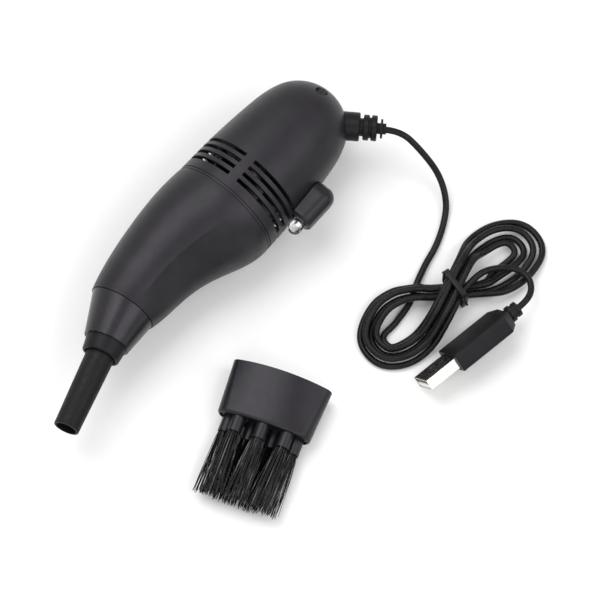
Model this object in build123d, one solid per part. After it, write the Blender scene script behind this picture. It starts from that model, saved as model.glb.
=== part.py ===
from build123d import *
import os
from math import asin, atan2, ceil, cos, degrees, pi, radians, sin, sqrt, tan

# Lengths are in millimetres. While the pieces are built, X runs from the nozzle to the dome along the
# body's axis, x = 0 is the front vent ring, the lamp is on the -Y side and the table is z = 0.
# Every piece is moved at the end so that the origin is under the middle of the cleaner and its brush.

# Housing
BODY_R = 22.0
WALL = 1.6
SEAM_X = -5.7
SHOULDER_X = 34.0
BARREL_ARC_R = 312.0
SHOULDER_ARC_R = 43.0
DOME_START_ANGLE = 20.0
FIT = 0.05
SOFT_GAP = 0.3
SEAT_GAP = 0.1
OVERRUN = 1.0
SEAM_GROOVE_W = 0.4
SEAM_GROOVE_DEPTH = 0.35
SEAM_GROOVE_X = -4.5
SEAM_GAP = 0.25

# Vents
VENT_COUNT = 4
VENT_PITCH = 3.2
VENT_W = 1.6
VENT_BRIDGE_W = 4.0

# Spigot that the dust cup pushes over
SPIGOT_LENGTH = 6.0
SPIGOT_ROOT = 3.0
SPIGOT_WALL = 1.4

# Front housing
FRONT_LENGTH = 54.2
NOSE_R = 13.2
BOW = 3.9
NOSE_TILT = 9.4
SOCKET_DEPTH = 7.0
# Hollow on the lamp side of the front housing, from a sharp upper edge to a smooth lower one
HOLLOW_DEPTH = 1.8
HOLLOW_TOP_ANGLE = 64.0
HOLLOW_LOW_ANGLE = -12.0
HOLLOW_STEPS = 8
# Places along the front housing: share of its length, of its bow, of its taper and of the hollow's depth
FRONT_STATION_SHARES = (
    (0.0, 0.0, 1.0, 0.0),
    (0.25, 0.49, 0.86, 0.42),
    (0.48, 0.98, 0.54, 1.0),
    (0.71, 1.02, 0.315, 0.95),
    (1.0, 0.72, 0.0, 0.0),
)

# Nose cone, collar and nozzle tube
NOSE_END_X = -74.2
NOSE_END_Y = -1.8
NOSE_END_R = 8.9
NOSE_STEP = 0.35
NOSE_SPIGOT_LENGTH = 4.0
NOSE_SPIGOT_WALL = 1.3
NOSE_SEAT_LENGTH = 8.0
NOZZLE_TILT = 17.3
COLLAR_LENGTH = 5.9
COLLAR_BASE_R = 8.0
COLLAR_TIP_R = 7.2
COLLAR_SPIGOT_LENGTH = 7.0
COLLAR_WALL = 1.1
COLLAR_RECESS_R = 6.2
COLLAR_RECESS_DEPTH = 1.4
TUBE_ROOT_R = 5.5
TUBE_TIP_R = 4.9
TUBE_BORE_R = 4.0
TUBE_LENGTH = 31.0
TUBE_ROUND = 0.3
COLLAR_SPIGOT_R = TUBE_ROOT_R + FIT + COLLAR_WALL

# Motor, a small flat-sided direct-current motor
MOTOR_X = 13.6
MOTOR_LENGTH = 25.0
MOTOR_R = 10.05
MOTOR_FLAT = 7.55
CAN_WALL = 0.8
MOTOR_BOSS_R = 3.08
MOTOR_BOSS_LENGTH = 1.7
SHAFT_R = 1.0
SHAFT_X0 = -1.5
CAP_LENGTH = 2.0
CAP_BOSS_LENGTH = 1.4
TERMINAL_W = 2.2
TERMINAL_T = 0.4
TERMINAL_LENGTH = 3.0
TERMINAL_Y = 6.0
MAGNET_LENGTH = 16.0
MAGNET_T = 1.9
MAGNET_HALF_HEIGHT = 5.6
ROTOR_R = 6.4
ROTOR_LENGTH = 12.0
ROTOR_HUB_R = 2.6
ROTOR_SHOE = 1.3
ROTOR_ARM_W = 2.2
ROTOR_SLOT = 1.4
POLES = 3

# Motor holder and its screws
HOLDER_T = 1.5
HOLDER_SLEEVE_LENGTH = 8.0
HOLDER_SLEEVE_WALL = 1.2
HOLDER_HOLES = 6
HOLDER_HOLE_R = 2.2
HOLDER_EDGE = 3.1
LEDGE_LENGTH = 1.5
LEDGE_HEIGHT = 1.3
POST_R = 2.5
POST_GAP = 0.7
POST_Z = MOTOR_FLAT + FIT + HOLDER_SLEEVE_WALL + POST_GAP + POST_R
WELL_R = 2.4
WELL_WALL = 1.2
WELL_DEPTH = 8.8
WELL_SEAT_T = 1.5
SCREW_R = 1.1
SCREW_LENGTH = 8.0
SCREW_HEAD_R = 2.1
SCREW_HEAD_T = 1.5
SCREW_CROSS_W = 0.6
SCREW_CROSS_DEPTH = 0.8

# Impeller and shroud
IMPELLER_R = 16.2
IMPELLER_X = -0.9
IMPELLER_PLATE_T = 1.2
BLADE_H = 6.8
BLADE_T = 0.9
BLADE_COUNT = 9
BLADE_ARC_R = 11.0
HUB_R = 3.6
SHROUD_T = 1.2
SHROUD_X = -4.6
INLET_R = 8.0
INLET_LIP = 1.0

# Filter
FILTER_X = -10.9
FILTER_LENGTH = 5.0
FILTER_RIM = 2.2
FILTER_RIB_W = 1.4
FILTER_RIB_T = 1.1
FILTER_LIP = 1.4

# Thumb slide, lamp and slide switch
SLIDE_TRAVEL = 2.5
POD_FRONT_X = 8.9
POD_LENGTH = 17.0
POD_W = 10.2
POD_RISE = 7.2
POD_EDGE = 4.2
POD_FRONT_EDGE = 1.4
STEM_W = 3.0
STEM_LENGTH = 6.0
STEM_X = MOTOR_X + SLIDE_TRAVEL + SOFT_GAP + STEM_LENGTH / 2
LAMP_RISE = 3.0
LAMP_Y = BODY_R + LAMP_RISE
LAMP_R = 2.5
LAMP_RIM_R = 2.9
LAMP_RIM_T = 1.0
LAMP_LENGTH = 5.6
LEG_W = 0.5
LEG_LENGTH = 5.0
LEG_SPACING = 2.54
SWITCH_LENGTH = 8.6
SWITCH_W = 3.7
SWITCH_H = 3.5
SWITCH_GAP = 0.6
SWITCH_TOP = BODY_R - WALL - SWITCH_GAP
SWITCH_PIN_LENGTH = 1.2
SWITCH_PIN_W = 0.6
SWITCH_PIN_PITCH = 2.5
LEVER_W = 1.5
LEVER_RISE = 3.0
POCKET_WALL = 1.0

# Strain relief
RELIEF_PLACE_ANGLE = 45.0
RELIEF_DEPTH = 0.27
RELIEF_ANGLE = 54.5
RELIEF_NECK_R = 3.2
RELIEF_FLANGE_R = 5.45
RELIEF_FLANGE_T = 5.0
RELIEF_WAIST_R = 3.4
RELIEF_WAIST_T = 1.3
RELIEF_RIB_R = 4.85
RELIEF_RIB_T = 2.2
RELIEF_GROOVE_R = 3.9
RELIEF_GROOVE_T = 0.8
RELIEF_NOSE_R = 2.1
RELIEF_NOSE_T = 2.6
RELIEF_FIN_R = 3.65
RELIEF_FIN_T = 0.8
RELIEF_INNER_R = 4.8
RELIEF_INNER_T = 1.5
RELIEF_ROUND = 0.5

# Brush, lying on the table with its wide side up
BRUSH_X = -37.8
BRUSH_Y = -56.5
BRUSH_ANGLE = 200.6
CUP_LENGTH = 21.5
CUP_MOUTH_W = 38.6
CUP_END_W = 36.2
CUP_MOUTH_T = 14.0
CUP_END_T = 13.8
CUP_MOUTH_R = 3.6
CUP_END_R = 5.3
CUP_WALL = 1.0
CUP_EDGE = 1.2
DECK_DEPTH = 1.0
DECK_T = 1.4
SOCKET_R = 5.0
SOCKET_WALL = 0.9
SOCKET_LENGTH = 9.0
PLATE_T = 2.0
PLATE_INSET = 0.6
FERRULE_R = 2.6
FERRULE_WALL = 0.35
FERRULE_OUT = 6.0
TUFT_PITCH_UPPER = 9.5
TUFT_PITCH_LOWER = 8.8
PLATE_RIM = 0.1
AIR_HOLE_R = 1.5
BRISTLE_LENGTH = 31.0
BRISTLE_W = 0.28
BRISTLE_PITCH = 0.46
TUFT_SPREAD_SHARE = 0.92
BRISTLE_SPREAD_SHARE = 1.9
TUFT_RISE_SHARE = 1.08
BRISTLE_RISE_SHARE = 1.05
BRISTLE_RAGGED = 0.9
RAGGED_TURN = 2.4
BRISTLE_ROOT_T = 0.8

# Cord. The hank's own frame starts at its crossing, with its long axis turned by HANK_ANGLE.
CORD_D = 2.5
HANK_X = 31.1
HANK_Y = -81.9
HANK_ANGLE = -14.8
HANK_TURNS = 4
HANK_PACK = 2.05
HANK_LAYER = 2.8
HANK_STAGGER = 0.85
CROSS_PITCH = 1.7
LEAVE_STAGGER = 1.4
LEFT_REACH = 41.0
LEFT_HALF = 13.7
LEFT_APEX_Y = 1.5
LEFT_FLANK = 26.5
RIGHT_REACH = 38.6
RIGHT_REACH_PITCH = 3.5
RIGHT_TOP = 15.0
RIGHT_TOP_PITCH = 2.9
RIGHT_BOTTOM = 11.2
RIGHT_BOTTOM_PITCH = 3.4
RIGHT_TOP_FLANK = 22.0
RIGHT_BOTTOM_FLANK = 19.5
CLEAR_RUN = 3.0
RISE_START = 8.0
RISE_RUN = 7.0
RISE_END = 22.0
RISE_DROP = 0.1
RISE_ANGLE = 154.5
CROSS_ANGLE = 30.0
INNER_START_X = -23.0
INNER_START_Y = 3.6
INNER_START_ANGLE = 200.0
INNER_APEX_Y = 2.0
OUT_X = 4.0
OUT_Y = -2.2
OUT_ANGLE = 12.0
STRAND_STEP = 2.95
SETTLE_SHARE = 0.6
STRAIGHT = 0.001
ARC_SHARE = 0.45

# Corner points of the cord's free stretches: the first in the table's frame, the others in the hank's
LEAD_EXIT = 6.0
TAIL_RUN = 4.6
TAIL_END = 4.6
LEAD_ROUTE = (
    (62.3, -38.7, 16.0),
    (62.0, -48.2, 8.2),
    (57.2, -56.1, 2.6),
    (49.8, -60.8, 1.25),
    (41.0, -64.4, 1.25),
)
LEAD_HANK_ROUTE = (
    (-2.2, 16.0, 1.25),
    (-10.3, 10.9, 1.25),
)
TAIL_HANK_ROUTE = (
    (16.8, -2.2, 7.5),
    (22.8, -6.0, 6.9),
    (25.1, -11.5, 6.9),
    (23.2, -17.0, 7.7),
)

# Tie round the hank
TIE_T = 0.6
TIE_W = 2.0
TIE_TAIL_LENGTH = 1.6
TIE_TAIL_T = 1.2
TIE_TAIL_TURN = 45.0

# Plug, rolled on its edge beside the hank
PLUG_X = -6.5
PLUG_Y = -98.1
PLUG_Z = 8.5
PLUG_HEADING = 171.1
PLUG_ROLL = 54.3
SHELL_W = 12.0
SHELL_H = 4.5
SHELL_WALL = 0.35
SHELL_LENGTH = 13.8
SHELL_SEAT = 5.0
SHELL_WINDOW = 2.2
SHELL_WINDOW_X = 2.4
SHELL_ROUND = 0.5
OVERMOULD_LENGTH = 27.0
OVERMOULD_W = 16.6
OVERMOULD_H = 7.6
OVERMOULD_EDGE = 1.6
OVERMOULD_SHOULDER = 3.0
PLUG_RELIEF_LENGTH = 5.6
PLUG_RELIEF_R = 3.3
PLUG_RELIEF_RIBS = 2
PLUG_RIB_DEPTH = 0.6
TONGUE_T = 1.8
CONTACT_W = 1.0
CONTACT_T = 0.3
CONTACT_PITCH = 2.25
CONTACT_COUNT = 4


def rod_x(radius, x0, x1, y=0.0, z=0.0):
    """A cylinder along X from x0 to x1."""
    return Pos((x0 + x1) / 2, y, z) * Rot(0, 90, 0) * Cylinder(radius, x1 - x0)


def ring_x(outer, inner, x0, x1, y=0.0, z=0.0):
    """A hollow cylinder along X."""
    return rod_x(outer, x0, x1, y, z) - rod_x(inner, x0 - OVERRUN, x1 + OVERRUN, y, z)


def block(x0, x1, y0, y1, z0, z1):
    """A box between two corners."""
    return Pos((x0 + x1) / 2, (y0 + y1) / 2, (z0 + z1) / 2) * Box(x1 - x0, y1 - y0, z1 - z0)


def shell_arcs():
    """Centres, radii and angles of the rear housing's three arcs, from the seam to the pole."""
    shoulder = asin((SHOULDER_X - SEAM_X) / BARREL_ARC_R)
    turn = radians(DOME_START_ANGLE)
    barrel_centre = (SEAM_X, BODY_R - BARREL_ARC_R)
    reach = BARREL_ARC_R - SHOULDER_ARC_R
    shoulder_centre = (barrel_centre[0] + reach * sin(shoulder), barrel_centre[1] + reach * cos(shoulder))
    height = shoulder_centre[1] + SHOULDER_ARC_R * cos(turn)
    dome_radius = height / cos(turn)
    dome_centre = (shoulder_centre[0] + (SHOULDER_ARC_R - dome_radius) * sin(turn), 0)
    return [
        (barrel_centre, BARREL_ARC_R, 90, -degrees(shoulder)),
        (shoulder_centre, SHOULDER_ARC_R, 90 - degrees(shoulder), degrees(shoulder) - DOME_START_ANGLE),
        (dome_centre, dome_radius, 90 - DOME_START_ANGLE, DOME_START_ANGLE - 90),
    ]


def rear_solid(inset):
    """The rear housing's outer form, shrunk by inset and cut square at the seam."""
    arcs = [CenterArc(c, r - inset, a, size) for c, r, a, size in shell_arcs()]
    pole = arcs[-1] @ 1
    foot = (SEAM_X, 0)
    outline = Wire(arcs + [Line(pole, foot), Line(foot, arcs[0] @ 0)])
    return revolve(Plane.XY * make_face(outline), Axis.X)


def dome():
    """Centre along X and radius of the rear housing's round end."""
    (centre, _), radius, _, _ = shell_arcs()[-1]
    return centre, radius


def well_seat():
    """Face in the dome's wells on which the screw heads sit."""
    centre, radius = dome()
    return centre + radius - WELL_DEPTH


def relief_plane():
    """Plane at the foot of the strain relief, its normal along the cord's exit."""
    angle = radians(RELIEF_ANGLE)
    centre, radius = dome()
    out = radius - RELIEF_DEPTH
    place = radians(RELIEF_PLACE_ANGLE)
    foot = (centre + out * cos(place), -out * sin(place), 0)
    return Plane(origin=foot, x_dir=(0, 0, 1), z_dir=(cos(angle), -sin(angle), 0))


def holder_front():
    """Front face of the motor holder's plate."""
    return MOTOR_X - HOLDER_T


def inner_radius():
    """Radius of the rear housing's hollow near the fan."""
    return BODY_R - WALL


def rear_housing():
    """Vented barrel and dome, with the spigot, ledge, screw wells and switch pocket."""
    shell = rear_solid(0) - rear_solid(WALL)
    spigot_outer = BODY_R - WALL - FIT
    spigot_inner = spigot_outer - SPIGOT_WALL
    shell += ring_x(spigot_outer, spigot_inner, SEAM_X - SPIGOT_LENGTH, SEAM_X + SPIGOT_ROOT)
    shell += ring_x(BODY_R - WALL / 2, spigot_inner, SEAM_X, SEAM_X + SPIGOT_ROOT)
    ledge = ring_x(BODY_R, inner_radius() - LEDGE_HEIGHT, MOTOR_X, MOTOR_X + LEDGE_LENGTH)
    shell += ledge & rear_solid(WALL / 2)
    pocket_half = SWITCH_LENGTH / 2 + POCKET_WALL
    pocket = block(MOTOR_X + FIT, STEM_X + pocket_half, -BODY_R, -(SWITCH_TOP - SWITCH_H),
                   -(SWITCH_W / 2 + POCKET_WALL), SWITCH_W / 2 + POCKET_WALL)
    shell += pocket & rear_solid(WALL / 2)
    seat = well_seat()
    for side in (-1, 1):
        well = rod_x(WELL_R + WELL_WALL, seat - WELL_SEAT_T, seat + BODY_R, 0, side * POST_Z)
        shell += well & rear_solid(WALL / 2)
    half = SWITCH_LENGTH / 2 + FIT
    shell -= block(STEM_X - half, STEM_X + half, -SWITCH_TOP - FIT, -(SWITCH_TOP - SWITCH_H) + OVERRUN,
                   -SWITCH_W / 2 - FIT, SWITCH_W / 2 + FIT)
    shell -= block(STEM_X - STEM_LENGTH / 2 - SLIDE_TRAVEL - SOFT_GAP, STEM_X + STEM_LENGTH / 2 + SOFT_GAP,
                   -BODY_R - OVERRUN, -SWITCH_TOP + FIT, -STEM_W / 2 - SOFT_GAP, STEM_W / 2 + SOFT_GAP)
    for side in (-1, 1):
        shell -= rod_x(WELL_R, seat, seat + BODY_R, 0, side * POST_Z)
        shell -= rod_x(SCREW_R + SEAT_GAP, seat - BODY_R / 2, seat + OVERRUN, 0, side * POST_Z)
    shell -= relief_plane() * Cylinder(RELIEF_NECK_R + FIT, BODY_R)
    groove_r = BODY_R - SEAM_GROOVE_DEPTH
    shell -= ring_x(BODY_R + OVERRUN, groove_r, SEAM_GROOVE_X - SEAM_GROOVE_W, SEAM_GROOVE_X)
    bridge = VENT_BRIDGE_W / 2
    reach = BODY_R + OVERRUN
    for index in range(VENT_COUNT):
        x0 = index * VENT_PITCH - VENT_W / 2
        slot = ring_x(reach, inner_radius() - OVERRUN, x0, x0 + VENT_W)
        slot -= block(x0, x0 + VENT_W, -reach, reach, -bridge, bridge)
        slot -= block(x0, x0 + VENT_W, -bridge, bridge, -reach, reach)
        shell -= slot
    return shell


def hollowed(radius, depth):
    """Circle with a hollow on the lamp side: its deepest place is a third of the way down."""
    turn = radians(HOLLOW_TOP_ANGLE - HOLLOW_LOW_ANGLE)
    points = []
    for step in range(HOLLOW_STEPS + 1):
        share = step / HOLLOW_STEPS
        angle = radians(HOLLOW_TOP_ANGLE) - turn * share
        reach = radius - depth * 27 / 4 * share * (1 - share) ** 2
        points.append(Vector(reach * sin(angle), -reach * cos(angle)))
    top = points[0].normalized()
    low = points[-1].normalized()
    leaving = Vector(top.Y, -top.X) * radius * turn - top * depth * 27 / 4
    arriving = Vector(low.Y, -low.X) * radius * turn
    flank = Spline(*points, tangents=(leaving, arriving))
    away = radians(180 + (HOLLOW_TOP_ANGLE + HOLLOW_LOW_ANGLE) / 2)
    back = ThreePointArc(points[-1], Vector(radius * sin(away), -radius * cos(away)), points[0])
    return make_face([flank, back])


def front_sections(inset, depth):
    """Sections of the bent front housing, with a hollow of a depth in them."""
    sections = []
    for along, sideways, taper, hollow in FRONT_STATION_SHARES:
        tilt = radians(NOSE_TILT * along * along)
        centre = (SEAM_X - FRONT_LENGTH * along, BOW * sideways, 0)
        plane = Plane(origin=centre, x_dir=(0, 0, 1), z_dir=(-cos(tilt), -sin(tilt), 0))
        radius = NOSE_R + (BODY_R - NOSE_R) * taper - inset
        sections.append(plane * hollowed(radius, depth * hollow))
    return sections


def nose_seam():
    """Plane where the nose cone meets the front housing, its normal towards the nozzle."""
    along, sideways, _, _ = FRONT_STATION_SHARES[-1]
    tilt = radians(NOSE_TILT)
    centre = (SEAM_X - FRONT_LENGTH * along, BOW * sideways, 0)
    return Plane(origin=centre, x_dir=(0, 0, 1), z_dir=(-cos(tilt), -sin(tilt), 0))


def nozzle_plane():
    """Plane at the end of the nose cone, its normal along the nozzle towards the tip."""
    tilt = radians(NOZZLE_TILT)
    return Plane(origin=(NOSE_END_X, NOSE_END_Y, 0), x_dir=(0, 0, 1), z_dir=(-cos(tilt), -sin(tilt), 0))


def along(plane, radius, start, end):
    """A cylinder along a plane's normal, from start to end."""
    return plane * (Pos(0, 0, (start + end) / 2) * Cylinder(radius, end - start))


def front_housing():
    """Bent dust cup, open at both ends, with a socket for the spigot."""
    body = loft(front_sections(0, HOLLOW_DEPTH)) - loft(front_sections(WALL, HOLLOW_DEPTH))
    body -= rod_x(BODY_R - WALL, SEAM_X - SOCKET_DEPTH, SEAM_X + OVERRUN)
    body -= along(nose_seam(), NOSE_R - WALL, -NOSE_SPIGOT_LENGTH - OVERRUN, OVERRUN)
    return body - ring_x(BODY_R + OVERRUN, BODY_R - SEAM_GROOVE_DEPTH, SEAM_X - SEAM_GAP, SEAM_X + OVERRUN)


def nose_cone():
    """Cone between the dust cup and the nozzle, with a spigot at its wide end and a seat at its tip."""
    seam = nose_seam()
    end = nozzle_plane()
    outer_r = NOSE_R - NOSE_STEP
    inner_end_r = COLLAR_SPIGOT_R + FIT
    cone = loft([seam * Circle(outer_r), end * Circle(NOSE_END_R)], ruled=True)
    spigot_r = NOSE_R - WALL - FIT
    kept = along(seam, outer_r - SEAM_GROOVE_DEPTH, -OVERRUN, SEAM_GAP)
    cone -= along(seam, outer_r + OVERRUN, -OVERRUN, SEAM_GAP) - kept
    cone += along(seam, spigot_r, -NOSE_SPIGOT_LENGTH, OVERRUN)
    seat = Plane(origin=end.origin - end.z_dir * NOSE_SEAT_LENGTH, x_dir=end.x_dir, z_dir=end.z_dir)
    cone -= loft([seam * Circle(spigot_r - NOSE_SPIGOT_WALL), seat * Circle(inner_end_r)], ruled=True)
    cone -= along(seam, spigot_r - NOSE_SPIGOT_WALL, -NOSE_SPIGOT_LENGTH - OVERRUN, 0)
    cone -= along(end, inner_end_r, -NOSE_SEAT_LENGTH, OVERRUN)
    return cone


def nozzle_collar():
    """Sleeve that holds the tube: a spigot in the nose cone and a tapered ring outside it."""
    plane = nozzle_plane()
    ring = plane * (Pos(0, 0, COLLAR_LENGTH / 2) * Cone(COLLAR_BASE_R, COLLAR_TIP_R, COLLAR_LENGTH))
    ring = fillet(ring.edges().group_by(Axis((0, 0, 0), plane.z_dir))[-1], COLLAR_WALL / 2)
    ring += along(plane, COLLAR_SPIGOT_R, -COLLAR_SPIGOT_LENGTH, OVERRUN)
    ring -= along(plane, TUBE_ROOT_R + FIT, -COLLAR_SPIGOT_LENGTH - OVERRUN, COLLAR_LENGTH + OVERRUN)
    ring -= along(plane, COLLAR_RECESS_R, COLLAR_LENGTH - COLLAR_RECESS_DEPTH, COLLAR_LENGTH + OVERRUN)
    return ring


def nozzle_tube():
    """Soft suction tube, straight in the collar and tapered outside it."""
    plane = nozzle_plane()
    tip = COLLAR_LENGTH + TUBE_LENGTH - TUBE_ROUND
    start = COLLAR_LENGTH
    taper = Plane(origin=plane.origin + plane.z_dir * start, x_dir=plane.x_dir, z_dir=plane.z_dir)
    outer = along(plane, TUBE_ROOT_R, -COLLAR_SPIGOT_LENGTH, start)
    outer += taper * (Pos(0, 0, TUBE_LENGTH / 2) * Cone(TUBE_ROOT_R, TUBE_TIP_R, TUBE_LENGTH))
    outer = fillet(outer.edges().group_by(Axis((0, 0, 0), plane.z_dir))[-1], TUBE_ROUND)
    return outer - along(plane, TUBE_BORE_R, -COLLAR_SPIGOT_LENGTH - OVERRUN, tip + OVERRUN * 2)


def can_form(inset, x0, x1):
    """Round motor form with two flat sides."""
    flat = MOTOR_FLAT - inset
    return rod_x(MOTOR_R - inset, x0, x1) & block(x0, x1, -BODY_R, BODY_R, -flat, flat)


def motor_can():
    end = MOTOR_X + MOTOR_LENGTH
    can = can_form(0, MOTOR_X, end) - can_form(CAN_WALL, MOTOR_X + CAN_WALL, end + OVERRUN)
    can += rod_x(MOTOR_BOSS_R, MOTOR_X - MOTOR_BOSS_LENGTH, MOTOR_X)
    return can - rod_x(SHAFT_R + FIT, MOTOR_X - MOTOR_BOSS_LENGTH - OVERRUN, MOTOR_X + CAN_WALL + OVERRUN)


def rotor_middle():
    """Middle of the motor along X."""
    return MOTOR_X + MOTOR_LENGTH / 2


def motor_magnets():
    """Two curved magnets on the can's round sides."""
    outer = MOTOR_R - CAN_WALL - FIT
    middle = rotor_middle()
    ring = ring_x(outer, outer - MAGNET_T, middle - MAGNET_LENGTH / 2, middle + MAGNET_LENGTH / 2)
    return ring & block(0, BODY_R * 2, -BODY_R, BODY_R, -MAGNET_HALF_HEIGHT, MAGNET_HALF_HEIGHT)


def motor_end_cap():
    """Nylon cap that closes the can, with a bearing boss and slots for the terminals."""
    end = MOTOR_X + MOTOR_LENGTH
    cap = can_form(0, end, end + CAP_LENGTH)
    cap += can_form(CAN_WALL + FIT, end - CAP_LENGTH, end)
    cap += rod_x(MOTOR_BOSS_R, end, end + CAP_LENGTH + CAP_BOSS_LENGTH)
    cap -= rod_x(SHAFT_R + FIT, end - CAP_LENGTH - OVERRUN, end + CAP_LENGTH + CAP_BOSS_LENGTH / 2)
    for side in (-1, 1):
        cap -= terminal(side, FIT)
    return cap


def terminal(side, gap):
    """One brass tab through the motor's end cap."""
    end = MOTOR_X + MOTOR_LENGTH
    y = side * TERMINAL_Y
    return block(end - CAP_LENGTH - gap, end + CAP_LENGTH + TERMINAL_LENGTH, y - TERMINAL_T / 2 - gap,
                 y + TERMINAL_T / 2 + gap, -TERMINAL_W / 2 - gap, TERMINAL_W / 2 + gap)


def motor_terminals():
    return Compound([terminal(-1, 0), terminal(1, 0)])


def motor_shaft():
    end = MOTOR_X + MOTOR_LENGTH + CAP_LENGTH + CAP_BOSS_LENGTH / 2 - SEAT_GAP
    return rod_x(SHAFT_R, SHAFT_X0, end)


def rotor_arms(width):
    """Three radial arms of the rotor."""
    x0 = rotor_middle() - ROTOR_LENGTH / 2
    arm = block(x0, x0 + ROTOR_LENGTH, -width / 2, width / 2, 0, ROTOR_R - ROTOR_SHOE / 2)
    return [Rot(360 / POLES * index, 0, 0) * arm for index in range(POLES)]


def rotor_core():
    """Three-pole laminated core pressed on the shaft."""
    x0 = rotor_middle() - ROTOR_LENGTH / 2
    x1 = x0 + ROTOR_LENGTH
    core = rod_x(ROTOR_HUB_R, x0, x1) + ring_x(ROTOR_R, ROTOR_R - ROTOR_SHOE, x0, x1)
    for arm in rotor_arms(ROTOR_ARM_W):
        core += arm
    half_slot = ROTOR_SLOT / 2
    gap = block(x0 - OVERRUN, x1 + OVERRUN, -half_slot, half_slot, -BODY_R, -ROTOR_HUB_R - ROTOR_SHOE)
    for index in range(POLES):
        core -= Rot(360 / POLES * index, 0, 0) * gap
    return core - rod_x(SHAFT_R + FIT / 2, x0 - OVERRUN, x1 + OVERRUN)


def rotor_windings():
    """Copper filling between the arms, one plain solid to a slot."""
    x0 = rotor_middle() - ROTOR_LENGTH / 2 + SEAT_GAP
    x1 = x0 + ROTOR_LENGTH - SEAT_GAP * 2
    copper = ring_x(ROTOR_R - ROTOR_SHOE - SEAT_GAP, ROTOR_HUB_R + SEAT_GAP, x0, x1)
    for arm in rotor_arms(ROTOR_ARM_W + SEAT_GAP * 2):
        copper -= arm
    return copper


def motor_holder():
    """Plate with a sleeve round the motor and two long posts for the housing screws."""
    x0 = holder_front()
    outer = inner_radius() - SOFT_GAP * 2
    seat = well_seat()
    ring = rod_x(outer, x0, MOTOR_X)
    sleeve_end = MOTOR_X + HOLDER_SLEEVE_LENGTH
    ring += can_form(-HOLDER_SLEEVE_WALL - FIT, x0, sleeve_end) - can_form(-FIT, MOTOR_X, sleeve_end + OVERRUN)
    for side in (-1, 1):
        post = rod_x(POST_R, x0, seat - WELL_SEAT_T - FIT, 0, side * POST_Z)
        ring += post & rear_solid(WALL + SOFT_GAP)
        ring -= rod_x(SCREW_R + FIT / 2, seat - WELL_SEAT_T - SCREW_LENGTH, seat, 0, side * POST_Z)
    for index in range(HOLDER_HOLES):
        angle = radians(360 / HOLDER_HOLES * index)
        radius = outer - HOLDER_EDGE - HOLDER_HOLE_R
        ring -= rod_x(HOLDER_HOLE_R, x0 - OVERRUN, MOTOR_X + OVERRUN, radius * cos(angle), radius * sin(angle))
    return ring - rod_x(MOTOR_BOSS_R + FIT, x0 - OVERRUN, MOTOR_X + OVERRUN)


def housing_screws():
    """Two pan-head screws from the dome into the holder's posts."""
    screws = []
    seat = well_seat()
    for side in (-1, 1):
        z = side * POST_Z
        top = seat + SCREW_HEAD_T
        screw = rod_x(SCREW_HEAD_R, seat, top, 0, z)
        screw += rod_x(SCREW_R, seat - SCREW_LENGTH, seat, 0, z)
        low = top - SCREW_CROSS_DEPTH
        bar = SCREW_HEAD_R * 2 / 3
        screw -= block(low, top + OVERRUN, -bar, bar, z - SCREW_CROSS_W / 2, z + SCREW_CROSS_W / 2)
        screw -= block(low, top + OVERRUN, -SCREW_CROSS_W / 2, SCREW_CROSS_W / 2, z - bar, z + bar)
        screws.append(screw)
    return Compound(screws)


def impeller():
    """Backward-curved fan wheel on the motor shaft."""
    plate = IMPELLER_X + BLADE_H
    wheel = rod_x(IMPELLER_R, plate, plate + IMPELLER_PLATE_T) + rod_x(HUB_R, IMPELLER_X, plate)
    x0 = IMPELLER_X
    curve = ring_x(BLADE_ARC_R + BLADE_T / 2, BLADE_ARC_R - BLADE_T / 2, x0, plate, 0, BLADE_ARC_R)
    curve &= block(x0, plate, 0, BODY_R, -BODY_R, BLADE_ARC_R + BLADE_ARC_R / 2)
    curve &= ring_x(IMPELLER_R - SEAT_GAP, HUB_R - FIT, x0, plate)
    for index in range(BLADE_COUNT):
        wheel += Rot(360 / BLADE_COUNT * index, 0, 0) * curve
    return wheel - rod_x(SHAFT_R + FIT / 2, x0 - OVERRUN, plate + IMPELLER_PLATE_T + OVERRUN)


def shroud_radius():
    """Radius of what sits inside the spigot."""
    return BODY_R - WALL - FIT - SPIGOT_WALL - FIT


def fan_shroud():
    """Inlet plate in front of the fan, with a rolled lip round its hole."""
    plate = rod_x(shroud_radius(), SHROUD_X, SHROUD_X + SHROUD_T)
    plate += rod_x(INLET_R + INLET_LIP, SHROUD_X + SHROUD_T, SHROUD_X + SHROUD_T + INLET_LIP)
    plate -= rod_x(INLET_R, SHROUD_X - OVERRUN, SHROUD_X + SHROUD_T + INLET_LIP + OVERRUN)
    return plate


def filter_frame():
    """Ring with a cross of ribs in front of the cloth and a lip behind it."""
    outer = shroud_radius()
    inner = outer - FILTER_RIM
    x1 = FILTER_X + FILTER_LENGTH
    frame = ring_x(outer, inner, FILTER_X, x1)
    half = FILTER_RIB_W / 2
    frame += block(FILTER_X, FILTER_X + FILTER_RIB_T, -inner - FIT, inner + FIT, -half, half)
    frame += block(FILTER_X, FILTER_X + FILTER_RIB_T, -half, half, -inner - FIT, inner + FIT)
    return frame + ring_x(inner + FIT, inner - FILTER_LIP, x1 - FILTER_RIB_T, x1)


def filter_cloth():
    """Round pad of felt between the frame's ribs and lip."""
    outer = shroud_radius() - FILTER_RIM - SOFT_GAP
    x0 = FILTER_X + FILTER_RIB_T + SOFT_GAP
    x1 = FILTER_X + FILTER_LENGTH - FILTER_RIB_T - SOFT_GAP
    return rod_x(outer, x0, x1)


def pod_outline():
    """Seen from the side: square in front, rounded behind."""
    half = POD_W / 2
    x0 = POD_FRONT_X
    x1 = POD_FRONT_X + POD_LENGTH
    bend = x1 - half
    lines = [
        Line((x0, -half), (bend, -half)),
        ThreePointArc((bend, -half), (x1, 0), (bend, half)),
        Line((bend, half), (x0, half)),
        Line((x0, half), (x0, -half)),
    ]
    return make_face(Wire(lines))


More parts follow.
